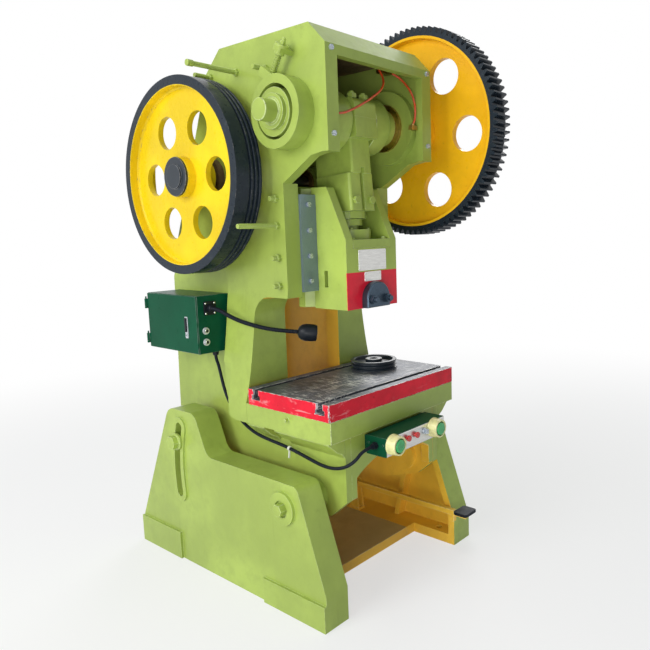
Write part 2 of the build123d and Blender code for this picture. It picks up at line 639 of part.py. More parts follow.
for x in (-30, 30):
    for y in (-98, 98):
        rod_cap -= cyl_z(x, y, 11, -1, rod_head_h + 1)
        rod -= cyl_z(x, y, 11, -50, 1)
        rod_bolts.append(cyl_z(x, y, 11, -50, rod_head_h + 24) + hex_z(x, y, 19, rod_head_h, rod_head_h + 16))
for x in (-40, 40):
    rod_bolts.append(hex_y(x, -190 - rod_nut_h + 38, 15, -rod_shank_d - 4, -rod_shank_d + 8))
ball_drop = rod_len
collar_top = -190 - rod_nut_h - ring_nut_h - 1
screw = cyl_z(0, 0, screw_r, -ball_drop + 84, -134) + cyl_z(0, 0, collar_r2, collar_top - 25, collar_top) + cyl_z(0, 0, neck_r, -ball_drop + 30, -ball_drop + 84) + Pos(0, 0, -ball_drop) * Sphere(ball_r)
nut = cyl_z(0, 0, ring_nut_r, -190 - rod_nut_h - ring_nut_h, -190 - rod_nut_h) - cyl_z(0, 0, screw_r, -500, 0)
for k in range(4):
    a = math.radians(45 + 90 * k)
    nut -= Pos(ring_nut_r * math.cos(a), ring_nut_r * math.sin(a), -190 - rod_nut_h - ring_nut_h / 2) * Rot(0, 0, 45 + 90 * k) * Box(12, 14, 30)
seat = Pos(0, pin_y, crank_z) * Rot(-rod_lean, 0, 0)
save("connecting_rod", seat * rod)
save("rod_cap", seat * rod_cap)
save("rod_bolts", *[seat * b for b in rod_bolts])
save("ball_screw", seat * screw)
save("ring_nut", seat * nut)

# Ram: body, cheeks, vee grooves, shank bore, knock-out slot and room for the ball
ram = box(-ram_half, ram_half, ram_front, ram_back, ram_z0, ram_seat)
cheek = side([(ram_front, ram_seat), (ram_front + 86, ram_top - 3), (ram_front + 92, ram_top), (ram_back, ram_top), (ram_back, ram_seat)], ram_half - ram_cheek, ram_half)
cheek_r2, cheek_l2 = both(cheek)
ram = ram + cheek_r2 + cheek_l2
for s in (-1, 1):
    groove = make_face(Polyline((s * (ram_half + 1), vee_y - vee_half - 1), (s * (ram_half - vee_depth), vee_y - 1), (s * (ram_half - vee_depth), vee_y + 1), (s * (ram_half + 1), vee_y + vee_half + 1), close=True))
    ram -= extrude(Plane.XY.offset(ram_z0 - 1) * groove, amount=ram_top - ram_z0 + 2)
cap_half = ram_half - ram_cheek - 0.5
flange_r2, flange_h2 = 75.0, 36.0
ram -= box(-cap_half - 0.5, cap_half + 0.5, ram_front - 1, 90, ram_seat - cap_t, ram_seat + 1)
cavity = ball_r + ball_room
ram -= cyl_z(0, 0, cavity, ball_z - cavity, ram_seat)
ram -= cyl_z(0, 0, shank_r, ram_z0 - 1, ram_z0 + shank_depth)
knock_z0 = ram_z0 + shank_depth + 4
ram -= box(-ram_half - 1, ram_half + 1, -knock_w / 2, knock_w / 2, knock_z0, knock_z0 + knock_h)
ram -= cyl_z(0, 0, 8, ram_z0 + shank_depth - 1, knock_z0 + 1)
ram -= box(-70, 70, ram_front - 1, ram_front + 3, ram_z0 + 148, ram_z0 + 205)
save("ram", ram)
cap_plate = box(-cap_half, cap_half, ram_front, 89.5, ram_seat - cap_t, ram_seat) + cyl_z(0, 0, flange_r2, ram_seat, ram_seat + flange_h2)
cap_plate -= cyl_z(0, 0, cavity, ball_z - cavity, ball_z + ball_r * 0.72)
cap_plate -= cyl_z(0, 4, neck_r + ball_room + 6, ram_z0, ram_seat + 60)
for x in (-84, 84):
    for y in (-86, 50):
        cap_plate += hex_z(x, y, hex_m12, ram_seat, ram_seat + 8)
for k in range(4):
    a = math.radians(45 + 90 * k)
    cap_plate += hex_z(65 * math.cos(a), 65 * math.sin(a), 6.5, ram_seat + flange_h2, ram_seat + flange_h2 + 6)
save("ball_cap", cap_plate)
clamp_z0, clamp_z1, clamp_top = ram_z0 + 2, ram_z0 + clamp_foot, ram_z0 + clamp_h
dome = make_face(Polyline((-clamp_w / 2, clamp_z1), (-clamp_w / 2, clamp_z0), (clamp_w / 2, clamp_z0), (clamp_w / 2, clamp_z1)) + ThreePointArc((clamp_w / 2, clamp_z1), (0, clamp_top), (-clamp_w / 2, clamp_z1)))
clamp = extrude(Plane.XZ.offset(-ram_front) * dome, amount=clamp_d)
clamp = chamfer(clamp.edges().group_by(Axis.Y)[0], 4)
nuts = [cyl_y(x, ram_z0 + 32, 10, ram_front - clamp_d - 26, ram_front - clamp_d) + hex_y(x, ram_z0 + 32, 17, ram_front - clamp_d - 15, ram_front - clamp_d) for x in (-38, 38)]
save("shank_clamp", clamp, *nuts)

# Clamping bolts of the tilt, through the arc slots of the legs
clamps = []
for s in (-1, 1):
    b = cyl_x(bolt_y, bolt_z, clamp_r, s * (web_half - web_t), s * (leg_out + 30)) + hex_x(bolt_y, bolt_z, 28, s * (leg_out + 18), s * (leg_out + 40))
    b += cyl_x(bolt_y, bolt_z, 34, s * (leg_out + 8 + seat_gap), s * (leg_out + 18))
    clamps.append(b)
save("tilt_clamp_bolts", *clamps)

# Electric cabinet, open on its outer side, with its door on two hinge pins
cab_in = web_half
cab = box(-cab_x0, -cab_in, cab_y0, cab_y1, cab_z0, cab_z1)
cab -= box(-cab_x0 - 1, -cab_in - cab_wall, cab_y0 + cab_wall, cab_y1 - cab_wall, cab_z0 + cab_wall, cab_z1 - cab_wall)
hinge_x = -cab_x0 - door_t / 2 - 4
hinge_y = cab_y1 + 9
lamp_x, lamp_z = -cab_x0 + 52, cab_z1 - 49
knob_x = -cab_x0 + 30
knob_zs = (cab_z0 + 87, cab_z0 + 44)
hinge_zs = (cab_z0 + 40, cab_z1 - 40)
for z in hinge_zs:
    cab += cyl_z(hinge_x, hinge_y, 3, z - 24, z + 24) + cyl_z(hinge_x, hinge_y, 6, z - 24, z - 15.3)
    cab += box(hinge_x + 2, -cab_x0 + 12, hinge_y - 4, cab_y1 + 13, z - 24, z - 15.3) + box(-cab_x0, -cab_x0 + 12, cab_y1, cab_y1 + 13, z - 24, z - 15.3)
for z in knob_zs:
    cab += cyl_y(knob_x, z, 13, cab_y0 - 6, cab_y0)
    cab -= cyl_y(knob_x, z, 8.1, cab_y0 - 7, cab_y0 + cab_wall + 1)
save("cabinet_box", cab)
door = box(-cab_x0 - 0.5, -cab_x0 - door_t - 0.5, cab_y0 + 2, cab_y1, cab_z0 + 2, cab_z1 - 2)
for z in hinge_zs:
    barrel = cyl_z(hinge_x, hinge_y, 6, z - 15, z + 15) + box(-cab_x0 - door_t - 0.5, -cab_x0 - 0.5 - 1, cab_y1 - 1, hinge_y, z - 15, z + 15)
    door += barrel - cyl_z(hinge_x, hinge_y, 3 + run_fit, z - 16, z + 16)
    door -= cyl_z(hinge_x, hinge_y, 3 + run_fit, z - 16, z + 16)
save("cabinet_door", door)
for name, z in (("cabinet_button_upper", knob_zs[0]), ("cabinet_button_lower", knob_zs[1])):
    save(name, cyl_y(knob_x, z, 8, cab_y0 - 9, cab_y0 + cab_wall + 6))

# Work lamp on a bent flexible arm
base = box(lamp_x - 26, lamp_x + 26, cab_y0 - 5, cab_y0, lamp_z - 26, lamp_z + 26)
base += cyl_y(lamp_x, lamp_z, 14, cab_y0 - 22, cab_y0 - 5)
for dx in (-19, 19):
    for dz in (-19, 19):
        base += cyl_y(lamp_x + dx, lamp_z + dz, 3.5, cab_y0 - 8, cab_y0 - 5)
arm_points = [(lamp_x, cab_y0 - 16, lamp_z), (lamp_x, cab_y0 - 62, lamp_z - 2), (lamp_x + 12, 305, 1004), (-head_half - 44, 250, 984), (-head_half - 8, 187, 964), (-head_half + 37, 144, 952), (-head_half + 85, 106, 944)]
arm = tube(arm_points, 8) + base
save("lamp_arm", arm)
p0, p1 = Vector(*arm_points[-2]), Vector(*arm_points[-1])
lamp_plane = Plane(p1, z_dir=p1 - p0)
lamp = revolve(make_face(Polyline((0, 0), (9, 0), (20, 5), (28, 15), (32, 28), (32, 56), (29, 70), (26, 70), (26, 68), (0, 68), close=True).rotate(Axis.X, 90)), Axis.Z)
save("lamp_head", lamp_plane * lamp)

# Two-hand control box under the front of the bed
ctl = box(-ctl_half, ctl_half, ctl_y0, ctl_y1, ctl_z0, ctl_z1)
ctl = fillet(ctl.edges().filter_by(Axis.X), 5)
red_xs = (-56.0, -8.0)
key_x = 44.0
for x in palm_xs:
    ctl -= cyl_y(x, palm_z, 8.6, ctl_y0 - 1, ctl_y0 + 30)
for x in red_xs:
    ctl -= cyl_y(x, palm_z, 7.1, ctl_y0 - 1, ctl_y0 + 24)
ctl -= cyl_y(key_x, palm_z, 8.05, ctl_y0 - 1, ctl_y0 + 24)
for y in (ctl_y0 + 16, ctl_y1 - 12):
    ctl += cyl_x(y, palm_z, 4, -ctl_half - 3, -ctl_half)
brackets = [box(s * 150 - 14, s * 150 + 14, ctl_y1, lower_front, ctl_z0 + 8, ctl_z1 - 4) for s in (-1, 1)]
save("control_box", ctl + brackets[0] + brackets[1])
cups = []
for x in palm_xs:
    cup = Pos(x, ctl_y0 - cup_h / 2, palm_z) * Rot(90, 0, 0) * Cone(cup_r + 2, cup_r - 2, cup_h) - cyl_y(x, palm_z, cup_in, ctl_y0 - cup_h - 1, ctl_y0 - 4)
    cup -= cyl_y(x, palm_z, 8.6, ctl_y0 - 5, ctl_y0 + 1)
    cups.append(cup)
save("button_cups", *cups)
for name, x in (("palm_button_left", palm_xs[0]), ("palm_button_right", palm_xs[1])):
    b = cyl_y(x, palm_z, palm_r, ctl_y0 - cup_h - 3, ctl_y0 - 4 - palm_gap)
    b = fillet(b.edges().sort_by(Axis.Y)[:1], 5) + cyl_y(x, palm_z, 8.5, ctl_y0 - 4 - palm_gap, ctl_y0 + 20)
    save(name, b)
for name, x in (("red_button_left", red_xs[0]), ("red_button_right", red_xs[1])):
    save(name, cyl_y(x, palm_z, 11, ctl_y0 - 13, ctl_y0 - 6) + cyl_y(x, palm_z, 7, ctl_y0 - 6, ctl_y0 + 16))
save("key_switch", cyl_y(key_x, palm_z, 12, ctl_y0 - 7, ctl_y0 - 0.3) + cyl_y(key_x, palm_z, 8, ctl_y0 - 0.3, ctl_y0 + 22) + box(key_x - 2, key_x + 2, ctl_y0 - 20, ctl_y0 - 7, palm_z - 9, palm_z + 9))

# Control cable from the cabinet to the control box, with a gland at each end and one tie
gland_x, gland_y = -web_half - 56, cab_y0 + 24
gland_end_y = ctl_y0 + 50
glands = [cyl_z(gland_x, gland_y, 11, cab_z0 - 16, cab_z0) + hex_z(gland_x, gland_y, 14, cab_z0 - 7, cab_z0),
          cyl_x(gland_end_y, 573, 11, -ctl_half - 18, -ctl_half) + hex_x(gland_end_y, 573, 14, -ctl_half - 7, -ctl_half)]
save("cable_glands", *glands)
cable_x = -web_half - 36
cable_points = [(gland_x, gland_y, cab_z0 - 16), (gland_x, gland_y, 830), (cable_x - 11, 437, 803), (cable_x - 5, 436, 768), (cable_x, 432, 728), (cable_x + 2, 418, 684), (cable_x + 3, 390, 642),
                (cable_x + 1, 346, 606), (cable_x - 3, 290, 579), (cable_x - 6, 226, 561), (cable_x - 3, 156, 551), (cable_x, 88, 544), (cable_x + 1, 20, 534), (cable_x, -44, 523),
                (cable_x - 2, -106, 513), (cable_x - 3, -164, 512), (cable_x + 6, -212, 522), (cable_x + 32, -238, 542), (-ctl_half - 64, gland_end_y, 573), (-ctl_half - 18, gland_end_y, 573)]
cable = tube(cable_points, cable_r)
save("control_cable", cable)
ct0, ct1 = Vector(*cable_points[11]), Vector(*cable_points[12])
tie_plane = Plane((ct0 + ct1) / 2, z_dir=ct1 - ct0)
tie = tie_plane * Pos(0, 0, 0) * (Cylinder(cable_r + 2.5, 9) - Cylinder(cable_r, 12))
tie += tie_plane * Box(30, 5, 5).move(Location((22, 0, 0)))
tie -= tie_plane * Cylinder(cable_r, 60)
save("cable_tie", tie)

# Grease hoses inside the head and their fittings
boss_x = head_half - head_plate - boss_t
ceiling_z = head_top - plate_t
block_x, block_z = boss_x - 131, ceiling_z - 60
hose_a = [(-boss_x + 20, -120, 1700), (-boss_x + 55, -120, 1702), (-106, -123, 1719), (-50, -125, 1746), (6, -123, 1777), (54, -119, 1806),
          (block_x + 10, -110, 1838), (block_x + 18, -95, 1868), (block_x + 14, -80, block_z + 14)]
hose_b = [(boss_x - 7, -149, 1700), (boss_x + 4, -150, 1714), (boss_x + 9, -150, 1740), (boss_x + 11, -148, 1772), (boss_x + 9, -140, 1806),
          (boss_x + 3, -124, 1838), (boss_x - 5, -104, 1864), (boss_x - 19, -88, 1882), (block_x + 88, -80, block_z + 8)]
save("hose_left", tube(hose_a, hose_r))
save("hose_right", tube(hose_b, hose_r))


def nipple(end, before, length):
    e, b = Vector(*end), Vector(*before)
    return Plane(e, z_dir=e - b) * cyl_z(0, 0, 6.5, 0, length)


block = box(block_x, block_x + 80, -90, -60, block_z, ceiling_z) - box(block_x - 2, block_x + 26, -92, -58, block_z - 2, block_z + 20) + nipple(hose_a[-1], hose_a[-2], 12) + nipple(hose_b[-1], hose_b[-2], 12)
boss_shape = cyl_x(0, crank_z, boss_r, -head_half, head_half)
left_fit = nipple(hose_a[0], hose_a[1], 24) - box(-head_half, -boss_x, -200, 0, 1600, 1800)
right_fit = box(boss_x - 21, boss_x + 10, -157, -132, 1680, 1696) + nipple(hose_b[0], hose_b[1], 8) - boss_shape
save("grease_fittings", block, left_fit, right_fit)

# Pedal on its bracket over the floor flange of the right leg
bracket = box(pedal_x - 22, pedal_x + 22, pedal_y - 30, pedal_y + 30, leg_floor, leg_floor + 10)
for s in (-1, 1):
    bracket += side([(pedal_y - 28, leg_floor), (pedal_y + 28, leg_floor), (pedal_y + 14, pedal_z + 22, 8), (pedal_y - 14, pedal_z + 22, 8)], pedal_x + s * (pedal_w / 2 + 1), pedal_x + s * (pedal_w / 2 + 9))
bracket += cyl_x(pedal_y, pedal_z, 9, pedal_x - pedal_w / 2 - 9, pedal_x + pedal_w / 2 + 9)
save("pedal_bracket", bracket)
lever = side([(pedal_front + 66, pedal_z - 11), (pedal_y, pedal_z - 11), (pedal_y, pedal_z + 11), (pedal_front + 66, pedal_z + 11)], pedal_x - pedal_w / 2, pedal_x + pedal_w / 2)
lever += cyl_x(pedal_y, pedal_z, 18, pedal_x - pedal_w / 2, pedal_x + pedal_w / 2)
lever += box(pedal_x - pedal_w / 2, pedal_x + pedal_w / 2, pedal_front + 8, pedal_front + 66, pedal_z - 11, pedal_z - 3)
lever += box(pedal_x - pedal_w / 2, pedal_x + pedal_w / 2, pedal_front + 66, pedal_front + 80, pedal_z - 38, pedal_z - 11)
lever -= cyl_x(pedal_y, pedal_z, 9 + run_fit, pedal_x - 30, pedal_x + 30)
save("pedal_lever", lever)
pad = box(pedal_x - 18, pedal_x + 62, pedal_front, pedal_front + 65, pedal_z - 3, pedal_z + 9)
pad = fillet(pad.edges().filter_by(Axis.Z), 12)
save("pedal_pad", pad)
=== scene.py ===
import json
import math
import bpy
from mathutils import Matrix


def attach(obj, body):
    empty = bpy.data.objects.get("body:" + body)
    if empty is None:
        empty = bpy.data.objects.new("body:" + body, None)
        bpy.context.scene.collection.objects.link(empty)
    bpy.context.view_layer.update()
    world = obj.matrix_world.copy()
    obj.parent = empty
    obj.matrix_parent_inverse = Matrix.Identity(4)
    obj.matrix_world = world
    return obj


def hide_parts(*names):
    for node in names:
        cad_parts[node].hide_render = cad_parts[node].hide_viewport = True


bl_info = {
    "name": "Stamping press",
    "version": (1, 0, 0),
    "blender": (4, 5, 0),
    "location": "View3D > Sidebar > Press",
    "description": "Dresses a crank-driven stamping press around its packed frame",
    "category": "Add Mesh",
}

import bmesh
import bpy
from mathutils import Matrix, Vector
from mathutils.bvhtree import BVHTree

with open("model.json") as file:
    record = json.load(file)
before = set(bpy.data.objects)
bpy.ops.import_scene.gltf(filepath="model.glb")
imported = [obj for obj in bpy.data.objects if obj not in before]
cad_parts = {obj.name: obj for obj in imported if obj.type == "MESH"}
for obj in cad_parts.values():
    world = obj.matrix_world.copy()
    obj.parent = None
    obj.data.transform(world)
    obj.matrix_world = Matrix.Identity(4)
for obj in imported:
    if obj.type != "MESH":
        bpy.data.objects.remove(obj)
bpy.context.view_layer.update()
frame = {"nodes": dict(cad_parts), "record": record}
record = frame["record"]
body_of = {node: body for body, nodes in record["behaviour"]["bodies"].items() for node in nodes}

X, Y, Z = Vector((1, 0, 0)), Vector((0, 1, 0)), Vector((0, 0, 1))
mm = 0.001
facing = 0.6        # a face looks some way when its normal has more than this share of it

# Places in the frame that the dressing meets, in metres
crank_z = 1.700
shaft_y, shaft_z = 0.4496, 1.5156
pivot_y, pivot_z = -0.040, 0.382
pulley_x, pulley_y, table_z = 0.172, 0.059, 0.750
cabinet_front = 0.4138
button_x, button_y = -0.372, 0.4052
latch_x, latch_y, barrel_z = -0.4085, 0.483, 0.930
lamp_x, lamp_y, lamp_z = -0.350, 0.3975, 1.031


# Sizes and colours that a user would change

class PressSizes(bpy.types.PropertyGroup):
    """Sizes of the dressing that can be changed without the frame"""
    casting_round: bpy.props.FloatProperty(
        name="Casting edges", description="Radius of the edges of the castings",
        default=0.0065, min=0.001, max=0.012, unit="LENGTH")
    plate_round: bpy.props.FloatProperty(
        name="Machined edges", description="Width of the broken edges of machined pieces",
        default=0.0014, min=0.0003, max=0.004, unit="LENGTH")
    sheet_round: bpy.props.FloatProperty(
        name="Sheet edges", description="Radius of the folded edges of the cabinet and the control box",
        default=0.0022, min=0.0005, max=0.005, unit="LENGTH")
    thread_pitch: bpy.props.FloatProperty(
        name="Thread pitch", description="Pitch of the threads of the adjusting screws and the studs",
        default=0.0026, min=0.0015, max=0.005, unit="LENGTH")
    neck_pitch: bpy.props.FloatProperty(
        name="Lamp arm rings", description="Distance from ring to ring of the lamp's bent arm",
        default=0.0058, min=0.004, max=0.012, unit="LENGTH")
    floor_size: bpy.props.FloatProperty(
        name="Floor", description="Side of the studio floor",
        default=40.0, min=10.0, max=80.0, unit="LENGTH")


def colour(name, description, default):
    return bpy.props.FloatVectorProperty(name=name, description=description, default=default,
                                         size=3, min=0, max=1, subtype="COLOR")


class PressColours(bpy.types.PropertyGroup):
    """Colours of the press"""
    green: colour("Frame green", "Enamel of the castings", (0.400, 0.520, 0.100))
    yellow: colour("Flywheel yellow", "Enamel of the flywheel", (0.880, 0.630, 0.012))
    # The gear's yellow is a more orange copy of the flywheel's: painted shade for the gear's face, which lies
    # in shade inside the window
    gear_yellow_painted_shade: colour("Gear yellow", "Enamel of the gear", (1.000, 0.530, 0.012))
    # The inner yellow is the real paint inside the castings, made more orange as painted shade and brighter
    # as painted light, since little lamp light reaches in there
    inner_yellow_painted_light: colour("Inner yellow", "Enamel inside the legs and the body", (1.000, 0.600, 0.060))
    red: colour("Table red", "Enamel of the table's edge and the foot of the ram", (0.800, 0.012, 0.036))
    black: colour("Rim black", "Enamel of the rims", (0.014, 0.022, 0.032))
    dark_green: colour("Box green", "Enamel of the cabinet and the control box", (0.004, 0.085, 0.040))
    table_steel: colour("Table steel", "Worn steel of the table", (0.098, 0.106, 0.132))
    ground_steel: colour("Ground steel", "Ground steel of the gibs", (0.200, 0.262, 0.330))
    dark_steel: colour("Dark steel", "Oiled steel of the screws", (0.150, 0.150, 0.155))
    bronze: colour("Bronze", "Bronze of the bushes", (0.520, 0.330, 0.110))
    rubber: colour("Rubber", "Rubber of the cable, the lamp arm and the pedal", (0.007, 0.011, 0.018))
    cream: colour("Cup cream", "Plastic of the button cups", (0.860, 0.830, 0.400))
    button_green: colour("Button green", "Plastic of the palm buttons", (0.020, 0.420, 0.110))
    button_red: colour("Button red", "Plastic of the stop buttons", (0.620, 0.012, 0.012))
    hose: colour("Hose red", "Plastic of the grease hoses", (0.780, 0.085, 0.018))
    dusty: colour("Dusty floor plate", "Enamel under dust", (0.600, 0.500, 0.250))
    plated_steel: colour("Plated steel", "Steel of the guide's screws and the key", (0.460, 0.510, 0.570))
    alloy: colour("Brushed alloy", "Bare plates and the control box's front", (0.620, 0.620, 0.600))
    blue_steel: colour("Blue steel", "Steel of the shank clamp", (0.055, 0.085, 0.120))
    chrome: colour("Chrome", "Cabinet buttons and the lamp's screws", (0.780, 0.780, 0.780))
    satin_steel: colour("Satin steel", "Latch and the rings round the cabinet buttons", (0.560, 0.590, 0.620))
    lens: colour("Lens", "Frosted lens of the lamp", (0.800, 0.800, 0.760))
    black_plastic: colour("Black plastic", "Plastic of lamp, latch and glands", (0.009, 0.012, 0.017))
    white_plastic: colour("White plastic", "Plastic of the cable tie", (0.780, 0.780, 0.750))
    casting: colour("Raw casting", "Scale of the castings where they aren't painted", (0.230, 0.150, 0.080))
    floor: colour("Floor", "Studio floor", (0.860, 0.860, 0.855))


def sizes():
    return bpy.context.scene.press_sizes


def colours():
    return bpy.context.scene.press_colours


# Shader building

class Value:
    """A socket's value; arithmetic on it adds Math nodes."""

    def __init__(self, shade, socket):
        self.shade, self.socket = shade, socket

    def math(self, operation, first, second=None, clamp=False):
        inputs = {0: first} if second is None else {0: first, 1: second}
        return self.shade.node("ShaderNodeMath", {"operation": operation, "use_clamp": clamp}, inputs)

    def __add__(self, other):
        return self.math("ADD", self, other)

    __radd__ = __add__

    def __sub__(self, other):
        return self.math("SUBTRACT", self, other)

    def __rsub__(self, other):
        return self.math("SUBTRACT", other, self)

    def __mul__(self, other):
        return self.math("MULTIPLY", self, other)

    __rmul__ = __mul__

    def __pow__(self, other):
        return self.math("POWER", self, other)

    def __rpow__(self, other):
        return self.math("POWER", other, self)

    def clamped(self):
        return self.math("ADD", self, 0.0, clamp=True)

    def most(self, other):
        return self.math("MAXIMUM", self, other)

    def above(self, low, high):
        """0 below low, 1 above high, with a smooth step between"""
        return self.shade.node("ShaderNodeMapRange", {"interpolation_type": "SMOOTHSTEP"},
                               {0: self, 1: low, 2: high, 3: 0.0, 4: 1.0})

    def below(self, low, high):
        return 1.0 - self.above(low, high)


class Nodes:
    """A node tree that is built from expressions"""

    def __init__(self, tree):
        self.tree = tree

    def node(self, kind, settings=None, inputs=None, output=0):
        """A node with its settings first and then the values or links of its sockets"""
        made = self.tree.nodes.new(kind)
        for key, value in (settings or {}).items():
            setattr(made, key, value)
        for key, value in (inputs or {}).items():
            if isinstance(value, Value):
                self.tree.links.new(value.socket, made.inputs[key])
            else:
                made.inputs[key].default_value = value
        return Value(self, made.outputs[output])

    def mix(self, share, first, second):
        """Between two colours"""
        pair = [v if isinstance(v, Value) else (*tuple(v)[:3], 1.0) for v in (first, second)]
        return self.node("ShaderNodeMix", {"data_type": "RGBA", "clamp_factor": True},
                         {0: share, 6: pair[0], 7: pair[1]}, 2)

    def seen(self):
        """1 for what the camera sees straight on, mirrored or through glass"""
        kinds = ("Is Camera Ray", "Is Glossy Ray", "Is Transmission Ray")
        camera, glossy, through = (self.node("ShaderNodeLightPath", output=kind) for kind in kinds)
        return camera.most(glossy).most(through)


class Shade(Nodes):
    """A material and its Principled shader"""

    def __init__(self, name, **uniform):
        self.material = bpy.data.materials.new(name)
        self.material.use_nodes = True
        super().__init__(self.material.node_tree)
        self.shader = self.tree.nodes["Principled BSDF"]
        for socket, value in uniform.items():
            self.shader.inputs[socket.replace("_", " ")].default_value = value
        self.point = self.node("ShaderNodeTexCoord", output="Object")
        self.x, self.y, self.z = (self.node("ShaderNodeSeparateXYZ", None, {0: self.point}, axis)
                                  for axis in range(3))

    def noise(self, scale, detail=3.0, roughness=0.5, stretch=(1, 1, 1), shift=(0, 0, 0)):
        point = self.point
        if stretch != (1, 1, 1) or shift != (0, 0, 0):
            point = self.node("ShaderNodeMapping", None, {0: point, "Location": shift, "Scale": stretch})
        return self.node("ShaderNodeTexNoise", None,
                         {"Vector": point, "Scale": scale, "Detail": detail, "Roughness": roughness}, "Fac")

    def cells(self, scale):
        """Distance to the nearest of scattered points"""
        return self.node("ShaderNodeTexVoronoi", None, {"Vector": self.point, "Scale": scale}, "Distance")

    def edge(self):
        """1 on the faces that rounding an edge made"""
        return self.node("ShaderNodeAttribute", {"attribute_name": "edge"}, None, "Fac")

    def feed(self, socket, value):
        self.tree.links.new(value.socket, self.shader.inputs[socket])

    def bump(self, height, distance, strength):
        return self.node("ShaderNodeBump", None,
                         {"Height": height, "Distance": distance, "Strength": strength})


def tone(base, factor):
    """A colour made darker or lighter"""
    return tuple(min(1.0, max(0.0, c * factor)) for c in tuple(base)[:3])


finishes = {}


def finish(name):
    """Each finish is built once, when the first piece asks for it"""
    if name not in finishes:
        maker, key, values = recipes[name]
        finishes[name] = maker(name, getattr(colours(), key), **values)
    return finishes[name]


def enamel(name, base, rough=0.33, cast=1.0, chips=0.5, grime=0.5, under=(0.11, 0.10, 0.085),
           coat=0.22, oil=0.0, shine=0.28):
    """Brushed or sprayed enamel; cast is the depth of the casting's skin, under the colour of the chips"""
    s = Shade(name, Coat_Weight=coat, Coat_Roughness=0.30, Specular_IOR_Level=shine)
    clouds = s.noise(2.3, 4.0, 0.55)
    spots = s.noise(38.0, 5.0, 0.62)
    runs = s.noise(6.0, 3.0, 0.6, stretch=(1, 1, 0.16), shift=(3, 1, 0))
    paint = s.mix(clouds.above(0.35, 0.70), tone(base, 0.80), tone(base, 1.06))
    mottle = s.noise(19.0, 5.0, 0.66, shift=(5, 5, 1))
    paint = s.mix(mottle.above(0.40, 0.72) * 0.5, paint, tone(base, 0.74))
    paint = s.mix(runs.above(0.56, 0.78) * 0.35 * grime, paint, tone(base, 0.45))
    dirt = s.noise(9.0, 6.0, 0.68, shift=(7, 2, 4)).above(0.60, 0.80) * grime
    paint = s.mix(dirt * 0.55, paint, tone(base, 0.38))
    edge = s.edge()
    # Pale bevels: partly paint thinned by wear on the edges, partly a painted highlight along them
    wear_and_highlight = tuple(0.25 + 0.75 * c for c in tone(base, 1.15))
    paint = s.mix((edge * mottle.above(0.34, 0.58) * 0.75).clamped(), paint, wear_and_highlight)
    flakes = s.noise(70.0, 4.0, 0.7, shift=(1, 5, 2)).above(0.60 - 0.08 * chips, 0.64 - 0.08 * chips)
    chip = (edge * flakes * chips).clamped()
    paint = s.mix(chip, paint, under)
    if oil:
        drips = s.noise(14.0, 4.0, 0.6, stretch=(1, 1, 0.12), shift=(0, 9, 0)).above(0.60, 0.72) * oil
        paint = s.mix(drips, paint, tone(base, 0.16))
    s.feed("Base Color", paint)
    s.feed("Roughness", (dirt * 0.25 + spots * 0.16 + chip * 0.25 + (rough - 0.08)).clamped())
    height = s.noise(26.0, 3.0, 0.5) * 0.55 + spots * 0.35 + s.noise(160.0, 2.0, 0.5) * 0.10 - chip * 0.20
    s.feed("Normal", s.bump(height, 0.0030 * cast, 0.55))
    return s.material


def bare_steel(name, base, rough, grain, stain, metal=1.0):
    """Machined or rolled steel, with its grain along one direction"""
    s = Shade(name, Specular_IOR_Level=0.5)
    lines = s.noise(90.0, 3.0, 0.6, stretch=grain)
    clouds = s.noise(12.0, 5.0, 0.6)
    fine = s.noise(240.0, 2.0, 0.6)
    colour = s.mix(lines.above(0.3, 0.75), tone(base, 0.80), tone(base, 1.15))
    stains = clouds.above(0.52, 0.74) * stain
    colour = s.mix(stains, colour, tone(base, 0.42))
    edge = s.edge()
    colour = s.mix((edge * fine.above(0.35, 0.65) * 0.6).clamped(), colour, tone(base, 1.6))
    s.feed("Base Color", colour)
    s.feed("Metallic", (metal - stains * 0.35).clamped())
    s.feed("Roughness", (lines * 0.12 + stains * 0.35 + (rough - 0.05)).clamped())
    s.feed("Normal", s.bump(lines * 0.6 + fine * 0.4, 0.0004, 0.5))
    return s.material


def plastic(name, base, rough, texture, coat=0.0, shine=0.5):
    """Moulded plastic or rubber with a fine grain and dull patches"""
    s = Shade(name, Coat_Weight=coat, Coat_Roughness=0.1, Specular_IOR_Level=shine)
    grain = s.cells(520.0)
    clouds = s.noise(28.0, 4.0, 0.6)
    paint = s.mix(clouds.above(0.42, 0.72), base, tone(base, 0.72))
    edge = s.edge()
    paint = s.mix((edge * clouds.above(0.40, 0.60) * 0.25).clamped(), paint, tone(base, 1.5))
    s.feed("Base Color", paint)
    s.feed("Roughness", (clouds * 0.18 + (rough - 0.09)).clamped())
    s.feed("Normal", s.bump(grain, 0.0003, texture))
    return s.material


